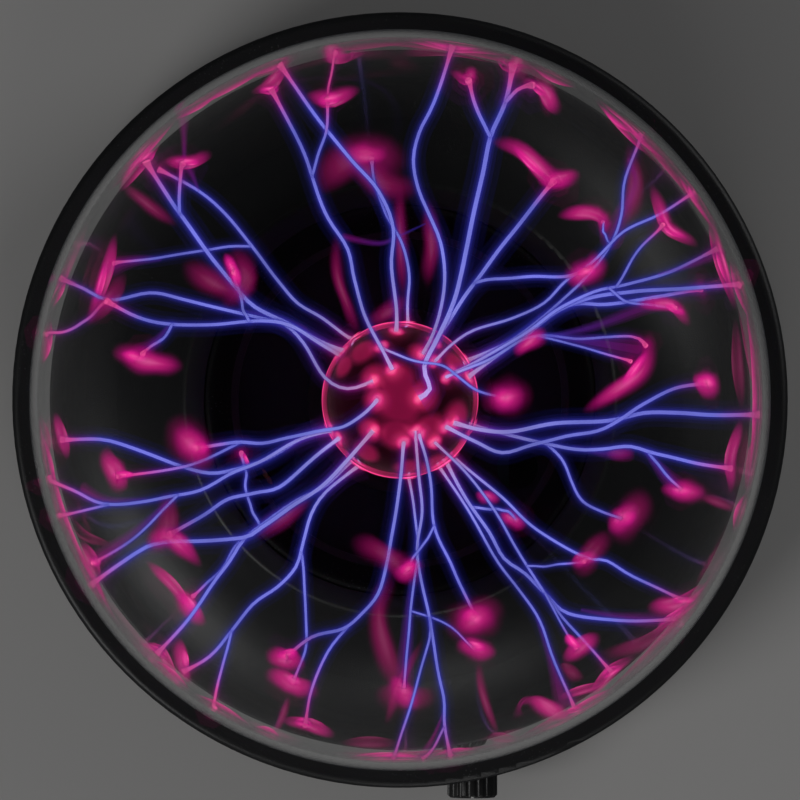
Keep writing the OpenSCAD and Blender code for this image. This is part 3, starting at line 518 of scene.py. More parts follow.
# lit patches on the glass, and a band of painted reflection round the rim, each a soft stroke: globe half,
# brightness 1 to 3, width, then where it runs
strokes = [
    (1, 2, 7, [(-93, 37), (-94, 32), (-93, 26)]), (1, 2, 6, [(-98, 20), (-98, 12)]),
    (1, 2, 5, [(-96, 16), (-96, 12)]), (1, 1, 6, [(-73, 31), (-77, 26), (-81, 22)]),
    (1, 2, 7, [(-73, 12), (-66, 10), (-59, 9)]), (1, 3, 3, [(-72, 12), (-67, 11)]),
    (1, 3, 3.5, [(-42, 30), (-43, 33), (-45, 37)]), (1, 1, 7, [(-54, 34), (-48, 30), (-42, 28)]),
    (1, 1, 7, [(-44, 26), (-40, 31), (-42, 37)]), (1, 2, 6, [(-73, 57), (-70, 62), (-65, 67)]),
    (1, 3, 4, [(-69, 63), (-66, 65)]), (1, 1, 4, [(-73, 57), (-66, 51), (-59, 46)]),
    (-1, 2, 6, [(-80, 44), (-82, 36), (-86, 23)]), (-1, 3, 3, [(-82, 38), (-85, 27)]),
    (1, 2, 4.5, [(-61, 63), (-56, 62.5), (-51, 63.5)]), (1, 3, 2, [(-59, 63), (-53, 62.5)]),
    (1, 2, 6, [(-60, 76), (-54, 82), (-48, 86)]), (-1, 2, 6, [(-78, 63), (-72, 70), (-63, 76)]),
    (-1, 3, 3, [(-76, 65), (-69, 72)]), (1, 1, 5, [(-80, 58), (-74, 66), (-66, 72)]),
    (1, 2, 6, [(-37, 82), (-34, 84), (-32, 87)]), (1, 3, 3, [(-36, 82), (-33, 82)]),
    (1, 2, 7, [(-40, 87), (-35, 90), (-31, 93)]), (-1, 1, 9, [(-42, 89), (-37, 93), (-31, 93.5)]),
    (1, 2, 6, [(-22, 80), (-18, 79), (-13, 81)]), (1, 3, 4, [(-20, 79), (-17, 79)]),
    (1, 2, 8, [(-19, 95), (-17, 91), (-11, 92)]), (1, 1, 8, [(-22, 96), (-8, 97.5), (4, 97.8)]),
    (-1, 1, 11, [(-20, 62), (-15, 68), (-8, 70), (-3, 67)]), (-1, 1, 9, [(-12, 69), (-6, 62), (2, 60)]),
    (-1, 2, 6, [(-13, 70), (-6, 69)]), (-1, 1, 4, [(-18, 46), (-18, 36), (-15, 27), (-12, 19)]),
    (-1, 1, 4, [(0, 60), (0, 45), (1, 30)]), (-1, 1, 5, [(8, 55), (9, 44), (8, 34)]),
    (-1, 1, 6, [(-7, 23), (-2, 26), (0, 28)]), (1, 2, 6, [(2, 98), (8, 97), (15, 95), (22, 94.5), (29, 93)]),
    (1, 3, 3, [(6, 97), (14, 95.5), (22, 95)]), (-1, 1, 10, [(4, 96), (14, 96.5), (24, 94)]),
    (1, 2, 6, [(26, 91), (30, 88.5), (32, 92)]), (1, 1, 9, [(28, 94), (32, 90), (31, 86)]),
    (1, 2, 4.5, [(15, 86), (18, 84.5), (19, 87)]), (1, 2, 6.5, [(34, 84), (38, 82), (40, 77)]),
    (1, 3, 2.5, [(35, 84), (38, 81)]), (-1, 1, 7, [(34, 92), (40, 88), (41, 80)]),
    (-1, 2, 5, [(38, 91), (47, 87)]), (1, 2, 5.5, [(26, 67), (32, 65), (39, 58), (44, 57)]),
    (1, 3, 2.5, [(30, 66), (38, 58)]), (1, 2, 5, [(38, 57), (45, 59)]), (1, 2, 7.5, [(46, 32), (51, 35)]),
    (1, 3, 3, [(47, 33), (50, 34)]), (1, 2, 6, [(77, 62), (80, 56), (87, 48)]),
    (1, 3, 3.5, [(78, 58), (82, 55)]), (1, 2, 6, [(83, 46), (85, 38), (88, 26)]),
    (1, 3, 3.5, [(84, 42), (87, 31)]), (-1, 2, 6, [(61, 78), (66, 73), (73, 66)]),
    (-1, 3, 4, [(64, 75), (67, 72)]), (1, 2, 4.5, [(53, 79), (60, 73), (65, 66)]),
    (1, 3, 2, [(54, 78), (62, 71)]), (-1, 1, 7, [(64, 69), (66, 60), (63, 51)]),
    (-1, 1, 6, [(68, 71), (76, 64), (82, 57)]), (-1, 2, 4.5, [(46, 52), (53, 53), (57, 51), (57, 47)]),
    (1, 2, 5, [(67, 55), (69, 49), (71, 45), (77, 42)]), (1, 3, 2.5, [(68, 50), (71, 45), (75, 43)]),
    (1, 2, 7, [(93, 37), (94, 32), (97, 25)]), (1, 2, 4.5, [(63, 25), (71, 25), (75, 21)]),
    (1, 3, 2.5, [(70, 25), (74, 23)]), (1, 2, 5.5, [(65, 16), (63, 8), (57, 3), (49, -2)]),
    (1, 3, 3, [(64, 12), (58, 4)]), (1, 2, 5, [(31, 13), (36, 17)]), (1, 1, 10, [(25, 0), (30, 1)]),
    (1, 2, 7.5, [(26, 0.5), (29, 1)]), (1, 3, 4.5, [(26, 0.5), (28, 0.5)]),
    (1, 2, 7, [(98, 3), (98, -4), (97.5, -10)]), (-1, 1, 7, [(93, 20), (94, 10), (94.5, 0)]),
    (-1, 1, 9, [(94, 24), (97, 12), (98, 0)]), (1, 2, 7, [(79, 5), (82, 4)]), (1, 3, 4, [(79, 5), (82, 4.5)]),
    (-1, 2, 8, [(94, -9), (92, -16), (92, -22)]), (-1, 1, 9, [(98, -10), (97, -23)]),
    (-1, 1, 9, [(62, -36), (66, -32), (68, -30)]), (-1, 2, 7, [(61, -35), (65, -32)]),
    (-1, 3, 4.5, [(62, -34), (65, -33)]), (-1, 2, 6, [(75, -25), (84, -26)]),
    (-1, 3, 3, [(77, -25.5), (81, -25.5)]), (-1, 1, 4, [(84, -27), (92, -30)]),
    (-1, 2, 6, [(95, -28), (93, -34)]), (-1, 1, 4, [(60, -15), (64, -15)]),
    (1, 1, 6, [(53, -36), (50, -40), (48, -44)]), (1, 2, 4, [(46, -42), (50, -41)]),
    (1, 2, 7, [(67, -54), (74, -54), (80, -50)]), (1, 3, 2.5, [(72, -53), (78, -53)]),
    (1, 2, 6, [(52, -77), (56, -72), (60, -69)]), (1, 3, 3, [(54, -73), (58, -71)]),
    (-1, 2, 6, [(71, -64), (76, -60), (82, -54)]), (-1, 3, 3.5, [(72, -62), (79, -57)]),
    (-1, 1, 9, [(58, -70), (70, -66), (84, -52)]), (-1, 2, 5, [(30, -33), (34, -35)]),
    (-1, 2, 4, [(23, -27), (27, -28)]), (-1, 2, 8, [(33, -87), (38, -84), (46, -87)]),
    (-1, 2, 6, [(46, -89), (50, -85), (58, -81)]), (-1, 2, 5, [(46, -82), (55, -79)]),
    (-1, 3, 3.5, [(46, -86), (50, -85)]), (-1, 1, 9, [(34, -92), (46, -90), (56, -82)]),
    (1, 2, 6.5, [(45, -67), (50, -63)]), (1, 3, 3, [(44, -62), (47, -65)]), (1, 1, 4, [(43, -70), (47, -73)]),
    (1, 1, 11, [(17, -59), (22, -55)]), (1, 2, 8, [(18, -58), (21, -56)]),
    (1, 3, 4.5, [(18, -56), (20, -57)]), (1, 2, 6, [(1, -45), (3, -43)]), (1, 3, 3.5, [(1, -44), (3, -43)]),
    (1, 1, 7, [(-10, -37), (-4, -40), (3, -46)]), (-1, 2, 7, [(19, -69), (24, -71)]),
    (-1, 3, 3, [(20, -69), (23, -70)]), (-1, 1, 3, [(22, -73), (23, -82), (27, -92)]),
    (-1, 1, 5, [(25, -93), (32, -94)]), (1, 2, 5, [(10, -98), (14, -97), (20, -97)]),
    (1, 2, 7, [(-12, -97), (-3, -98), (7, -98)]), (1, 3, 4, [(-8, -98), (5, -98)]),
    (-1, 1, 8, [(-13, -95), (-4, -95)]), (-1, 1, 7, [(-3, -50), (-6, -60), (-4, -71), (1, -82)]),
    (-1, 2, 6, [(-1, -79), (3, -85)]), (-1, 1, 10, [(-2, -82), (5, -84)]),
    (-1, 1, 3, [(6, -68), (0, -80), (-4, -90)]), (1, 2, 7, [(-32, -68), (-28, -68)]),
    (1, 3, 3.5, [(-31, -67), (-28, -66)]), (1, 2, 6, [(-29, -85), (-24, -86), (-20, -88)]),
    (1, 3, 3, [(-27, -85), (-24, -86)]), (-1, 2, 8, [(-34, -77), (-30, -80), (-27, -80)]),
    (-1, 3, 3, [(-31, -78), (-29, -79)]), (-1, 1, 3, [(-31, -83), (-34, -91)]),
    (-1, 2, 5, [(-39, -92), (-35, -93)]), (-1, 2, 7, [(-61, -68), (-59, -77)]),
    (-1, 3, 3, [(-60, -70), (-59, -75)]), (-1, 2, 5.5, [(-56, -83), (-50, -86), (-43, -90)]),
    (1, 2, 6, [(-88, -44), (-85, -51), (-83, -56)]), (1, 1, 9, [(-92, -39), (-88, -46), (-80, -58)]),
    (-1, 2, 7, [(-71, -67), (-66, -70), (-61, -77)]), (-1, 3, 3.5, [(-69, -68), (-65, -71)]),
    (-1, 2, 6, [(-67, -73), (-60, -79)]), (-1, 2, 4, [(-70, -46), (-63, -53), (-58, -60)]),
    (-1, 2, 7, [(-61, -55), (-57, -61)]), (-1, 3, 3, [(-61, -55), (-57, -60)]),
    (-1, 1, 6, [(-40, -37), (-34, -34), (-27, -29)]), (1, 1, 7, [(-60, -27), (-61, -34), (-64, -38)]),
    (1, 2, 5, [(-65, -37), (-60, -36), (-53, -42)]), (-1, 3, 2, [(-45, -15), (-43, -19)]),
    (1, 1, 11, [(-57, -9), (-52, -14)]), (1, 2, 8, [(-56, -10), (-52, -13)]),
    (1, 3, 4, [(-54, -12), (-51, -12.5)]), (1, 2, 6.5, [(-77, -16), (-73, -21)]),
    (1, 3, 2.5, [(-75, -19.5), (-70, -19.5)]), (-1, 2, 7, [(-95, -7), (-93, -13)]),
    (-1, 1, 8, [(-98, -8), (-98, -14)]), (1, 2, 6, [(-98, -12), (-97.5, -20), (-96, -24)]),
    (1, 2, 6, [(-97, -27), (-95, -31), (-94, -35)]), (1, 2, 7, [(-83, -40), (-81, -45)]),
    (1, 3, 3.5, [(-82, -43), (-80, -43)]), (1, 1, 2, [(-88, -30), (-84, -36), (-76, -38)]),
    # painted reflection: a faint band of glow along the rim stands in for the discharge's light mirrored and
    # bent in the glass wall
    (1, 2, 3, [(94, 31), (97, 18), (99, 4), (98, -12), (95, -28)]),
    (-1, 1, 4, [(91, 40), (81, 57), (68, 72), (55, 82)]),
    (-1, 1, 4, [(46, 88), (32, 93), (16, 97), (0, 98), (-16, 97)]),
    (-1, 2, 2.5, [(-34, 92), (-48, 86), (-58, 79)]), (1, 1, 4, [(88, -43), (78, -60), (66, -73), (52, -83)]),
    (-1, 1, 3, [(30, -94), (14, -97), (-4, -98), (-20, -96)]),
    (1, 2, 2.5, [(-97, -4), (-97, -18), (-93, -32), (-86, -47), (-74, -64)]),
]

# faint sheets of violet light that widen from a filament to its patch
veils = [
    dict(half=1, wide=2.2, route=[(-57, 62), (-57, 70), (-58, 78)]),
    dict(half=-1, wide=3.0, route=[(-66, 39), (-74, 38.5), (-82, 36)]),
    dict(half=1, wide=2.0, route=[(-86, 31), (-90, 32), (-94, 32)]),
    dict(half=-1, wide=3.5, route=[(63, 66), (65, 60), (62, 52), (59, 45)]),
    dict(half=1, wide=3.2, route=[(37, 17), (50, 15), (62, 13)]),
    dict(half=1, wide=1.8, route=[(68, 33), (78, 36), (85, 39)]),
    dict(half=-1, wide=2.6, route=[(50, -58), (60, -60), (71, -61)]),
    dict(half=-1, wide=3.0, route=[(68, -14), (73, -20), (78, -25)]),
    dict(half=-1, wide=2.4, route=[(48, -13), (58, -15), (64, -15)]),
    dict(half=-1, wide=3.0, route=[(3, -50), (2, -64), (1, -80)]),
    dict(half=-1, wide=3.0, route=[(38, -60), (42, -72), (45, -84)]),
    dict(half=1, wide=2.4, route=[(-61, 19), (-64, 15), (-68, 12)]),
    dict(half=-1, wide=2.6, route=[(-70, -27.5), (-81, -28), (-88, -25)]),
    dict(half=1, wide=2.6, route=[(-61, -27), (-70, -35), (-80, -42)]),
    dict(half=1, wide=2.2, route=[(36, 16), (50, 19), (66, 25)]),
    dict(half=-1, wide=2.4, route=[(-45, 25), (-36, 23), (-28, 19)]),
    dict(half=-1, wide=1.6, route=[(12, -86), (9, -93), (5, -98)]),
    dict(half=-1, wide=1.2, route=[(7, 49), (0, 46), (-6, 44), (-16, 46)]),
    dict(half=1, wide=1.6, route=[(-53, 55), (-55, 60), (-57, 63)]),
]

filamentShape = {
    "coreRadius": 0.41 * mm, "step": 2.2 * mm, "sway": 0.6 * mm, "swayScale": 60.0,
    "rootFlare": 1.5, "tipFlare": 2.2, "flareSpan": 5 * mm, "thickest": 1.25, "thinnest": 0.75, "seed": 11,
    "lowRootFrom": 0.7, "lowRootOut": 0.98, "lowRootDrop": 0.2, "branchWidth": 0.8,
    "gap": 0.5 * mm, "liftRoot": 0.3 * mm,
}
glowLayers = [(1.5, 0.24), (2.2, 0.13), (3.2, 0.07), (4.8, 0.03), (7.8, 0.013)]  # width, solidity


def flatPlace(place):
    return Vector((place[0] * mm, place[1] * mm, 0))


def heightOn(radius, flat):
    return math.sqrt(max(0.0, radius ** 2 - flat.length_squared))


def smoothThrough(points, step):
    # even points along a smooth curve through the given ones
    padded = [2 * points[0] - points[1]] + points + [2 * points[-1] - points[-2]]
    made = []
    for k in range(len(points) - 1):
        a, b, c, d = padded[k:k + 4]
        count = max(2, round((c - b).length / step))
        for n in range(count):
            t = n / count
            made.append(0.5 * (2 * b + (c - a) * t + (2 * a - 5 * b + 4 * c - d) * t ** 2
                               + (3 * b - a - 3 * c + d) * t ** 3))
    return made + [points[-1]]


def swayed(points, seed):
    # the small wander that a filament has, none at its two ends
    moved = []
    for k, point in enumerate(points):
        fade = min(1.0, 4 * k / len(points), 4 * (len(points) - 1 - k) / len(points))
        drift = noise.noise_vector(point * filamentShape["swayScale"] + Vector((seed * 7.3, seed * 1.7, 0)))
        moved.append(point + drift * filamentShape["sway"] * fade)
    return moved


def clearOfGlass(point):
    low = bulbRadius + filamentShape["liftRoot"]
    high = innerRadius - filamentShape["gap"]
    return point.normalized() * min(high, max(low, point.length))


def traceFilament(start, route, half, seed):
    # heights change evenly on the way from the start to the landing place
    flats = [Vector((start.x, start.y, 0))] + [flatPlace(place) for place in route]
    landing = heightOn(innerRadius, flats[-1]) * half
    lengths = [0.0]
    for a, b in zip(flats, flats[1:]):
        lengths.append(lengths[-1] + (b - a).length)
    points = [flat + Vector((0, 0, start.z + (landing - start.z) * run / lengths[-1]))
              for flat, run in zip(flats, lengths)]
    return [clearOfGlass(point) for point in swayed(smoothThrough(points, filamentShape["step"]), seed)]


def rootPoint(place, half):
    flat = flatPlace(place)
    if half < 0 and flat.length > filamentShape["lowRootFrom"] * bulbRadius:
        out = flat.normalized() * bulbRadius * filamentShape["lowRootOut"]
        return out - Vector((0, 0, filamentShape["lowRootDrop"] * bulbRadius))
    return flat + Vector((0, 0, heightOn(bulbRadius, flat)))


paths, roots = [], []


def layFilament(plan, half, start, seed, width):
    path = traceFilament(start, plan["route"][1:], half, seed)
    paths.append((path, start in roots, width))
    for k, branch in enumerate(plan.get("branches", [])):
        leaving = flatPlace(branch["route"][0])
        nearest = min(path, key=lambda point: (Vector((point.x, point.y, 0)) - leaving).length)
        layFilament(branch, half, nearest, seed + 31 * (k + 1), width * filamentShape["branchWidth"])


random.seed(filamentShape["seed"])
noise.seed_set(filamentShape["seed"])  # the sway's noise is otherwise different each run
for index, plan in enumerate(filaments):
    root = rootPoint(plan["route"][0], plan["half"])
    roots.append(root)
    layFilament(plan, plan["half"], root, index + filamentShape["seed"],
                plan.get("thick", random.uniform(filamentShape["thinnest"], filamentShape["thickest"])))
print("filaments laid:", len(paths), "strokes of glow:", len(strokes))


def tubesAlong(name, lines, thickness, sides):
    # lines are lists of (place from the globe's centre, width factor)
    curve = bpy.data.curves.new(name, "CURVE")
    curve.dimensions = "3D"
    curve.bevel_depth = thickness
    curve.bevel_resolution = sides
    curve.use_fill_caps = True
    for line in lines:
        spline = curve.splines.new("POLY")
        spline.points.add(len(line) - 1)
        for point, (place, width) in zip(spline.points, line):
            point.co = (*(place + globeCentre), 1)
            point.radius = width
    piece = bpy.data.objects.new(name, curve)
    scene.collection.objects.link(piece)
    makeActive(piece)
    bpy.ops.object.convert(target="MESH")
    return settle(bpy.context.object)


def filamentLines(factor):
    # a filament is widest where it meets the electrode and where it spreads on the glass
    lines = []
    span = filamentShape["flareSpan"]
    for path, fromRoot, width in paths:
        line = []
        for point in path:
            toTip = (path[-1] - point).length / span
            toRoot = (path[0] - point).length / span
            swell = 1 + (filamentShape["tipFlare"] - 1) * max(0, 1 - toTip) ** 2
            if fromRoot:
                swell += (filamentShape["rootFlare"] - 1) * max(0, 1 - toRoot) ** 2
            line.append((point, swell * width * factor))
        lines.append(line)
    return lines


# the discharge's light

def makeReachGroup():
    # how far a point is from the globe's centre, 0 at the electrode and 1 at the glass
    group, given, out = newGroup("reachFromCentre", [("Waver", "NodeSocketFloat", 0.04)],
                                 [("Reach", "NodeSocketFloat"), ("Flicker", "NodeSocketFloat")])
    coord = addNode(group, "TexCoord")
    away = addNode(group, "VectorMath", {"operation": "DISTANCE", 1: globeCentre}, i0=coord.outputs["Object"])
    reach = addNode(group, "MapRange", {"From Min": bulbRadius, "From Max": innerRadius, "clamp": True},
                    Value=away.outputs["Value"])
    ripple = addNode(group, "TexNoise", {"Scale": 45.0, "Detail": 3.0}, Vector=coord.outputs["Object"])
    centred = addNode(group, "Math", {"operation": "SUBTRACT", 1: 0.5}, i0=ripple.outputs["Fac"])
    wavering = addNode(group, "Math", {"operation": "MULTIPLY_ADD", "use_clamp": True},
                       i0=centred.outputs[0], i1=given.outputs["Waver"], i2=reach.outputs[0])
    flicker = addNode(group, "MapRange", {"From Min": 0.3, "From Max": 0.7, "To Min": 0.65, "To Max": 1.15},
                      Value=ripple.outputs["Fac"])
    group.links.new(wavering.outputs[0], out.inputs["Reach"])
    group.links.new(flicker.outputs[0], out.inputs["Flicker"])
    return group


reachFromCentre = makeReachGroup()


def rampNode(tree, stops, source):
    ramp = addNode(tree, "ValToRGB", Fac=source)
    while len(ramp.color_ramp.elements) < len(stops):
        ramp.color_ramp.elements.new(0.5)
    for element, (place, colour) in zip(ramp.color_ramp.elements, stops):
        element.position = place
        element.color = (*colour, 1)
    return ramp


def lightMaterial(name, strength, solidity=1.0):
    material, tree, shader = newMaterial(name)
    shader.inputs["Base Color"].default_value = (0, 0, 0, 1)
    shader.inputs["Roughness"].default_value = 1.0
    shader.inputs["Specular IOR Level"].default_value = 0.0
    shader.inputs["Emission Strength"].default_value = strength
    shader.inputs["Alpha"].default_value = solidity
    material.cycles.emission_sampling = "NONE"
    return material, tree, shader


def filamentLight(name, stops, strength, solidity=1.0):
    material, tree, shader = lightMaterial(name, strength, solidity)
    reach = useGroup(tree, reachFromCentre, {"Waver": 0.1})
    ramp = rampNode(tree, stops, reach.outputs["Reach"])
    lit = addNode(tree, "VectorMath", {"operation": "SCALE"}, i0=ramp.outputs["Color"],
                  Scale=reach.outputs["Flicker"])
    tree.links.new(lit.outputs[0], shader.inputs["Emission Color"])
    return material


coreStops = [(0.0, (0.75, 0.35, 0.65)), (0.04, (0.6, 0.5, 1.0)), (0.14, (0.42, 0.4, 1.0)),
             (0.35, (0.3, 0.32, 1.0)), (0.82, (0.26, 0.27, 0.96)), (0.91, (0.5, 0.2, 0.75)),
             (0.96, (0.85, 0.1, 0.4)), (1.0, (0.9, 0.1, 0.34))]
glowStops = [(0.0, (0.35, 0.01, 0.2)), (0.08, (0.12, 0.03, 0.45)), (0.2, (0.035, 0.035, 0.42)),
             (0.84, (0.035, 0.035, 0.42)), (0.93, (0.14, 0.008, 0.26)), (1.0, (0.3, 0.0, 0.12))]

filamentCores = tubesAlong("filamentCores", filamentLines(1.0), filamentShape["coreRadius"], 2)
hang(filamentCores, "lamp", filamentLight("filamentCoreLight", coreStops, 1.0))
for number, (factor, solidity) in enumerate(glowLayers, 1):
    glow = tubesAlong(f"filamentGlow{number}", filamentLines(factor), filamentShape["coreRadius"], 2)
    hang(glow, "lamp", filamentLight(f"filamentGlowLight{number}", glowStops, 0.9, solidity))

veilLayers = [(0.35, 0.1), (0.7, 0.06), (1.0, 0.04)]  # share of the veil's width, solidity
veilStops = [(0.0, (0.05, 0.03, 0.5)), (0.7, (0.06, 0.04, 0.5)), (0.88, (0.2, 0.02, 0.4)),
             (1.0, (0.4, 0.0, 0.2))]
veilShape = {"end": 0.97, "rise": 0.3, "narrow": 0.25, "step": 2 * mm}
veilPaths = []
for veil in veils:
    flats = [flatPlace(place) for place in veil["route"]]
    depths = [veilShape["end"] - veilShape["rise"] * (1 - k / (len(flats) - 1)) for k in range(len(flats))]
    points = [flat + Vector((0, 0, heightOn(innerRadius, flat) * veil["half"] * deep))
              for flat, deep in zip(flats, depths)]
    veilPaths.append((smoothThrough(points, veilShape["step"]), veil["wide"]))
for number, (share, solidity) in enumerate(veilLayers, 1):
    lines = []
    for path, wide in veilPaths:
        growth = (1 - veilShape["narrow"]) / (len(path) - 1)
        lines.append([(clearOfGlass(point), share * wide * (veilShape["narrow"] + growth * k))
                      for k, point in enumerate(path)])
    hang(tubesAlong(f"filamentVeil{number}", lines, 1 * mm, 3), "lamp",
         filamentLight(f"filamentVeilLight{number}", veilStops, 0.8, solidity))
print("filaments made")


# lit patches where filaments meet glass, and the band of painted reflection round the rim: thin lenses of
# light under the wall

def glowingGas(name, stops, strength, solidity, gasColour=None, gasStrength=0.0):
    # the skin carries a soft film of light, and gas inside it is bright where it is seen edge on
    material, tree, shader = lightMaterial(name, strength)
    fade = addNode(tree, "Attribute", {"attribute_name": "fade"})
    ramp = rampNode(tree, stops, fade.outputs["Fac"])
    film = addNode(tree, "MapRange", {"interpolation_type": "SMOOTHSTEP", "To Min": 0.0, "To Max": solidity},
                   Value=fade.outputs["Fac"])
    tree.links.new(ramp.outputs["Color"], shader.inputs["Emission Color"])
    tree.links.new(film.outputs[0], shader.inputs["Alpha"])
    if gasColour:
        gas = addNode(tree, "Emission", {"Color": (*gasColour, 1), "Strength": gasStrength})
        tree.links.new(gas.outputs[0], tree.nodes["Material Output"].inputs["Volume"])
    return material


def joinPieces(name, parts):
    deselectAll()
    for part in parts:
        part.select_set(True)
    bpy.context.view_layer.objects.active = parts[0]
    bpy.ops.object.join()
    piece = bpy.context.object
    piece.name = name
    return settle(piece)


def onWall(place, half):
    flat = flatPlace(place)
    return (flat + Vector((0, 0, heightOn(innerRadius, flat) * half))).normalized()


strokeShape = {"step": 0.012, "sides": 20, "fewestRings": 12, "mostRings": 40, "slimmest": 0.45,
               "slimBelow": 0.5, "ragged": 0.4, "raggedScale": 1.5, "skin": 0.1 * mm, "overhang": 0.35,
               "widest": 1.35, "softAcross": 2.4, "softAlong": 1.1}


def widened(direction):
    # a stroke on the steep part of the wall is drawn larger, since it is seen foreshortened
    return min(strokeShape["widest"], 1 / math.sqrt(max(0.1, 1 - direction.z ** 2)))


def addStroke(ways, width, depth, wallRadius, seed):
    # a flattened ball drawn out along the wall: flat against the glass, swelling softly inward
    line = [way.normalized() for way in smoothThrough(ways, strokeShape["step"])]
    length = sum((b - a).length for a, b in zip(line, line[1:])) * wallRadius
    rings = max(strokeShape["fewestRings"], min(strokeShape["mostRings"], round(length / mm)))
    bpy.ops.mesh.primitive_uv_sphere_add(segments=strokeShape["sides"], ring_count=rings, radius=1)
    stroke = bpy.context.object
    fade = stroke.data.attributes.new("fade", "FLOAT", "POINT")
    for vert in stroke.data.vertices:
        across, through, u = vert.co
        reach = (u + 1) / 2 * (len(line) - 1)
        k = min(len(line) - 2, int(reach))
        way = line[k].lerp(line[k + 1], reach - k).normalized()
        along = (line[k + 1] - line[k]).normalized()
        side = way.cross(along).normalized()
        ends = math.sqrt(max(0.0, 1 - abs(u) ** 3))
        torn = noise.noise(Vector((u * strokeShape["raggedScale"], across, seed)))
        ragged = 1 + strokeShape["ragged"] * torn
        wide = across / max(0.001, math.sqrt(1 - u * u)) if abs(u) < 0.999 else 0.0
        middle = max(0.0, 1 - wide * wide) ** strokeShape["softAcross"]
        body = middle * max(0.0, 1 - u * u) ** strokeShape["softAlong"]
        fade.data[vert.index].value = body
        swell = depth * body + strokeShape["skin"]
        steep = min(1.0, abs(way.z) / strokeShape["slimBelow"])
        slim = strokeShape["slimmest"] + (1 - strokeShape["slimmest"]) * steep  # slimmer near the rim
        sideways = side * (wide * slim * width * widened(side) / 2 * ends * ragged)
        endways = along * (u * width * widened(along) * strokeShape["overhang"])
        place = way * wallRadius + sideways + endways
        vert.co = place.normalized() * (wallRadius - (swell if through < 0 else 0)) + globeCentre
    return stroke


# brightness 1 and 2 also hold the glowing strokes of painted reflection that run round the rim
patchLight = {
    1: dict(name="landingHazeAndPaintedRimReflection", spread=1.5, depth=2.6 * mm, film=0.27, glow=0.45, lift=0.15 * mm),
    2: dict(name="landingGlowAndPaintedRimReflection", spread=1.42, depth=2.2 * mm, film=0.52, glow=0.85, lift=0.3 * mm),
    3: dict(name="landingCore", spread=1.3, depth=1.5 * mm, film=0.72, glow=1.35, lift=0.45 * mm),
}
patchStops = [(0.0, (0.3, 0.0, 0.16)), (0.4, (0.5, 0.004, 0.2)), (0.8, (0.75, 0.02, 0.26)),
              (1.0, (1.0, 0.12, 0.42))]
for brightness, look in patchLight.items():
    deselectAll()
    parts = [addStroke([onWall(place, half) for place in route], width * look["spread"] * mm, look["depth"],
                       innerRadius - look["lift"], index * 1.7)
             for index, (half, level, width, route) in enumerate(strokes) if level == brightness]
    hang(joinPieces(look["name"], parts), "lamp",
         glowingGas(look["name"] + "Light", patchStops, look["glow"], look["film"]))


# glow that clings to the electrode

layerShape = {"segments": 160, "rings": 110, "gap": 0.02 * mm, "thinnest": 0.03 * mm, "swell": 0.3 * mm,
              "reach": 2.6 * mm, "gasColour": (1.0, 0.06, 0.26), "gasStrength": 280.0, "cloudScale": 2.6,
              "cloudPlace": Vector((3.1, 0.7, 5.2)), "cloudLevel": 0.55, "cloudRange": 0.9}

# where the glow lies on the electrode's upper side: place and radius in millimetres, seen from above
beds = [(-10, 13, 5), (-9, -14, 4.5), (2, -18, 4.5), (9, -17, 5), (15, -5, 6), (8, -8, 6), (-1, -9, 6),
        (-8, -8, 4.5),
        (-6, 0, 5), (-1, 5, 7), (6, 12, 5), (15, 9, 5.5), (-7, 6, 5), (6, 1, 6), (0, 0, 9), (-15, 9, 4),
        (17, -11, 4)]


def bedGlow(place):
    # each bed is an even patch with a soft edge, and dark lines stay between neighbours
    glow = 0.0
    for x, y, radius in beds:
        flat = flatPlace((x, y))
        centre = flat + Vector((0, 0, heightOn(bulbRadius, flat)))
        edge = 1 - (place - centre).length / (radius * mm)
        glow = max(glow, min(1.0, max(0.0, edge * 2.2)))
    return glow


def electrodeLevel(way):
    near = max(math.exp(-((way * bulbRadius - root).length / layerShape["reach"]) ** 2) for root in roots)
    drift = noise.noise(way * layerShape["cloudScale"] + layerShape["cloudPlace"])
    cloud = min(1.0, max(0.0, layerShape["cloudLevel"] + layerShape["cloudRange"] * drift))
    laid = bedGlow(way * bulbRadius) if way.z > 0 else 0.0
    wild = cloud * max(0.0, min(1.0, 1 - 3 * way.z))
    return min(1.0, 0.5 * max(laid, wild) + 0.5 * near)


def makeElectrodeGlow():
    # two walls that nearly touch where the electrode is dark and part where it glows
    walls = []
    for outer in (True, False):
        deselectAll()
        bpy.ops.mesh.primitive_uv_sphere_add(segments=layerShape["segments"], ring_count=layerShape["rings"],
                                             radius=1)
        wall = bpy.context.object
        fade = wall.data.attributes.new("fade", "FLOAT", "POINT")
        for vert in wall.data.vertices:
            way = vert.co.normalized()
            level = electrodeLevel(way)
            fade.data[vert.index].value = level
            swell = layerShape["thinnest"] + layerShape["swell"] * min(1.0, 1.6 * level)
            vert.co = way * (bulbRadius + layerShape["gap"] + (swell if outer else 0)) + globeCentre
        if not outer:
            editing(wall)
            bpy.ops.mesh.select_all(action="SELECT")
            bpy.ops.mesh.flip_normals()
            bpy.ops.object.mode_set(mode="OBJECT")
        walls.append(wall)
    return joinPieces("electrodeGlow", walls)


electrodeStops = [(0.0, (0.02, 0.0, 0.004)), (0.3, (0.26, 0.0, 0.045)), (0.55, (0.42, 0.002, 0.075)),
                  (1.0, (1.0, 0.05, 0.22))]
hang(makeElectrodeGlow(), "lamp",
     glowingGas("electrodeLight", electrodeStops, 0.8, 0.4, layerShape["gasColour"],
                layerShape["gasStrength"]))

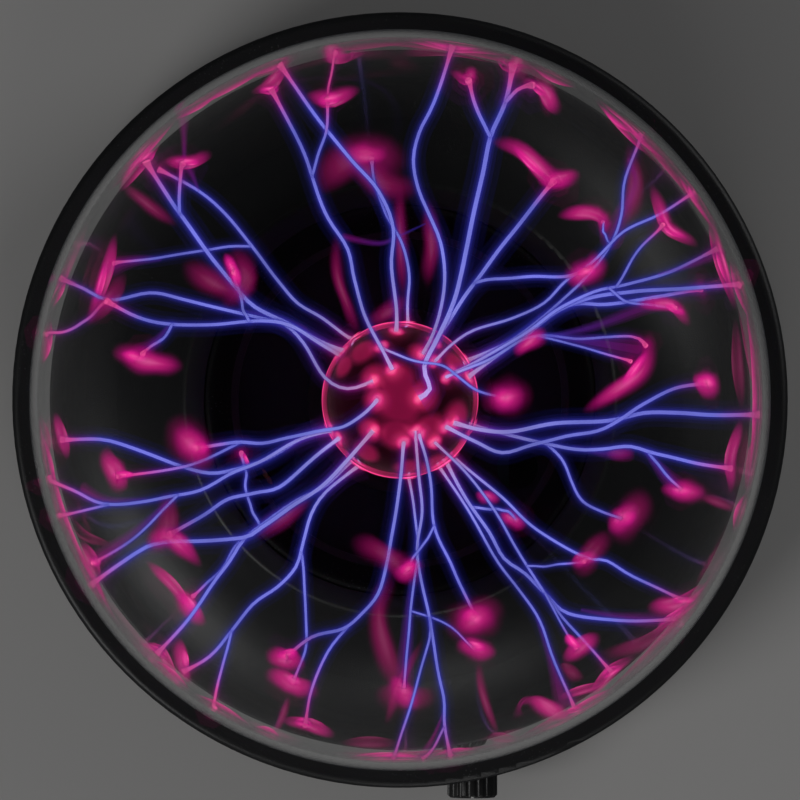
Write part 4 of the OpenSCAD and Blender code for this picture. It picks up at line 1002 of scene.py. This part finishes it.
rootShape = {"width": 5.0 * mm, "depth": 0.25 * mm, "lift": 0.76 * mm, "lean": 0.04}
rootStops = [(0.0, (0.5, 0.0, 0.08)), (0.5, (0.85, 0.03, 0.2)), (1.0, (1.0, 0.16, 0.36))]
deselectAll()
spots = []
for k, root in enumerate(roots):
    way = root.normalized()
    lean = way.orthogonal().normalized() * rootShape["lean"]
    spots.append(addStroke([way - lean, way, way + lean], rootShape["width"], rootShape["depth"],
                           bulbRadius + rootShape["lift"], k * 2.3))
hang(joinPieces("rootGlow", spots), "lamp", glowingGas("rootLight", rootStops, 1.1, 0.62))
print("landings and electrode glow made")


# polished copies of the CAD shapes that show

def polished(nodeName, pieceName, body, bevel, segments=2, smoothAngle=35):
    source = nodes[nodeName]
    piece = source.copy()
    piece.data = source.data.copy()
    piece.name = pieceName
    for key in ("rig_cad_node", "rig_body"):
        if key in piece:
            del piece[key]
    piece.parent = None
    scene.collection.objects.link(piece)
    editing(piece)
    bpy.ops.mesh.select_all(action="SELECT")
    bpy.ops.mesh.remove_doubles(threshold=0.00001)
    bpy.ops.mesh.dissolve_limited(angle_limit=math.radians(0.6))
    bpy.ops.object.mode_set(mode="OBJECT")
    applyModifier(piece, "BEVEL", width=bevel, segments=segments, limit_method="ANGLE",
                  angle_limit=math.radians(40), use_clamp_overlap=True, miter_outer="MITER_ARC")
    settle(piece, smoothAngle)
    return hang(piece, body, materials[slotOf[nodeName]], [nodeName])


polishes = [
    ("base_shell", "baseShell", "lamp", 0.35 * mm), ("bottom_plate", "bottomPlate", "lamp", 0.25 * mm),
    ("rubber_feet", "rubberFeet", "lamp", 0.5 * mm), ("globe_gasket", "globeGasket", "lamp", 0.3 * mm),
    ("control_panel", "controlPanel", "lamp", 0.3 * mm),
    ("switch_housing", "switchHousing", "lamp", 0.4 * mm),
    ("switch_rocker", "switchRocker", "rocker", 0.3 * mm),
    ("brightness_knob", "brightnessKnob", "knob", 0.25 * mm),
    ("pot_nut", "potNut", "lamp", 0.2 * mm), ("dc_jack_body", "powerSocket", "lamp", 0.3 * mm),
    ("dc_jack_pin", "powerSocketPin", "lamp", 0.3 * mm),
]
for nodeName, pieceName, body, bevel in polishes:
    polished(nodeName, pieceName, body, bevel)
print("solid pieces polished")


# painted marks on the controls: the knob's pointer, a ring of ticks round it and a dot on the rocker

markPaint = solidFinish("markPaint", (0.7, 0.7, 0.67), roughness=0.5, tone=0.08, grain=2500, bump=0.08)
controls = {"height": 18.8 * mm, "knobX": 21 * mm, "rockerX": -19 * mm, "panelFace": 104 * mm,
            "knobFront": 115.3 * mm, "tickCount": 11, "tickSweep": 300, "tickInner": 8.0 * mm,
            "tickOuter": 8.9 * mm, "tickWidth": 0.3 * mm, "tickDepth": 0.08 * mm, "tickSink": 0.02 * mm,
            "pointerSize": (0.8 * mm, 0.35 * mm, 5.2 * mm), "pointerSink": 0.36 * mm,
            "pointerMiddle": 4.3 * mm,
            "dotRadius": 0.9 * mm, "dotDepth": 0.12 * mm, "dotAside": 5.2 * mm, "dotFace": 105.14 * mm}


def markBlock(size, centre, turn=0.0, about=None):
    # a thin block standing on a face that looks to -Y, turned in that face round the given place
    deselectAll()
    bpy.ops.mesh.primitive_cube_add(size=1, location=centre)
    block = bpy.context.object
    editing(block)
    bpy.ops.mesh.select_all(action="SELECT")
    bpy.ops.transform.resize(value=size, center_override=centre)
    if turn:
        bpy.ops.transform.rotate(value=math.radians(turn), orient_axis="Y", center_override=about)
    bpy.ops.object.mode_set(mode="OBJECT")
    return block


knobPlace = Vector((controls["knobX"], 0, controls["height"]))
ticks = []
for number in range(controls["tickCount"]):
    turn = controls["tickSweep"] * (number / (controls["tickCount"] - 1) - 0.5)
    middle = (controls["tickInner"] + controls["tickOuter"]) / 2
    size = (controls["tickWidth"], controls["tickDepth"], controls["tickOuter"] - controls["tickInner"])
    place = knobPlace + Vector((0, -controls["panelFace"] - controls["tickSink"], middle))
    ticks.append(markBlock(size, place, turn, knobPlace + Vector((0, -controls["panelFace"], 0))))
hang(joinPieces("panelTicks", ticks), "lamp", markPaint)
pointer = markBlock(controls["pointerSize"], knobPlace + Vector((
    0, -controls["knobFront"] + controls["pointerSink"], controls["pointerMiddle"])))
pointer.name = "knobPointer"
hang(settle(pointer), "knob", markPaint)
deselectAll()
dotPlace = (controls["rockerX"] + controls["dotAside"], -controls["dotFace"], controls["height"])
bpy.ops.mesh.primitive_cylinder_add(vertices=32, radius=controls["dotRadius"], depth=controls["dotDepth"],
                                    rotation=(math.radians(90), 0, 0), location=dotPlace)
dot = bpy.context.object
dot.name = "rockerDot"
hang(settle(dot, 40), "rocker", markPaint)
print("marks painted")


# room

roomSettings = {"floorSize": 3.0, "floorColour": (0.62, 0.61, 0.6),
                "worldColour": (0.5, 0.52, 0.56), "worldStrength": 0.05}
deselectAll()
bpy.ops.mesh.primitive_plane_add(size=roomSettings["floorSize"], location=(0, 0, 0))
floor = bpy.context.object
floor.name = "floor"
floor.data.materials.append(solidFinish("floorFinish", roomSettings["floorColour"], roughness=0.7, tone=0.03,
                                        polish=0.05, grain=300, bump=0.05, mottle=4))
floor.visible_glossy = False

world = bpy.data.worlds.new("softRoom")
scene.world = world
world.use_nodes = True
world.node_tree.nodes["Background"].inputs["Color"].default_value = (*roomSettings["worldColour"], 1)
world.node_tree.nodes["Background"].inputs["Strength"].default_value = roomSettings["worldStrength"]


def softLight(name, power, size, place, aim):
    lamp = bpy.data.lights.new(name, "AREA")
    lamp.energy = power
    lamp.shape = "DISK"
    lamp.size = size
    light = bpy.data.objects.new(name, lamp)
    scene.collection.objects.link(light)
    light.location = place
    light.rotation_euler = (Vector(aim) - Vector(place)).to_track_quat("-Z", "Y").to_euler()
    light.light_linking.receiver_collection = litByLamps
    return light


# the lamps leave the glass alone, so that no bright discs are mirrored over the discharge
litByLamps = bpy.data.collections.new("litByLamps")
for piece in (glassGlobe, innerBulb, nodes["electrode_lining"], nodes["contact_fingers"]):
    litByLamps.objects.link(piece)
for row in litByLamps.collection_objects:
    row.light_linking.link_state = "EXCLUDE"
lamps = [
    ("keyLight", 4.2, 0.7, (-0.9, -0.7, 0.75), globeCentre),  # name, power, size, place, what it aims at
    ("fillLight", 2.4, 0.9, (1.0, 0.6, 0.6), globeCentre),
    ("frontLight", 1.8, 0.8, (0.25, -1.3, 0.45), globeCentre * 0.3),
]
for lampRow in lamps:
    softLight(*lampRow)

cameraSettings = {"distance": 2.0, "lens": 333.5}
cameraData = bpy.data.cameras.new("camera")
cameraData.lens = cameraSettings["lens"]
cameraData.clip_end = 10
camera = bpy.data.objects.new("camera", cameraData)
camera.location = globeCentre + Vector((0, 0, cameraSettings["distance"]))
camera.rotation_euler = Euler((0, 0, 0))
scene.collection.objects.link(camera)
scene.camera = camera

scene.view_settings.view_transform = "Standard"
scene.cycles.transparent_max_bounces = 96
scene.cycles.max_bounces = 16
scene.cycles.transmission_bounces = 16
scene.cycles.caustics_reflective = False
scene.cycles.caustics_refractive = False
print("room made")
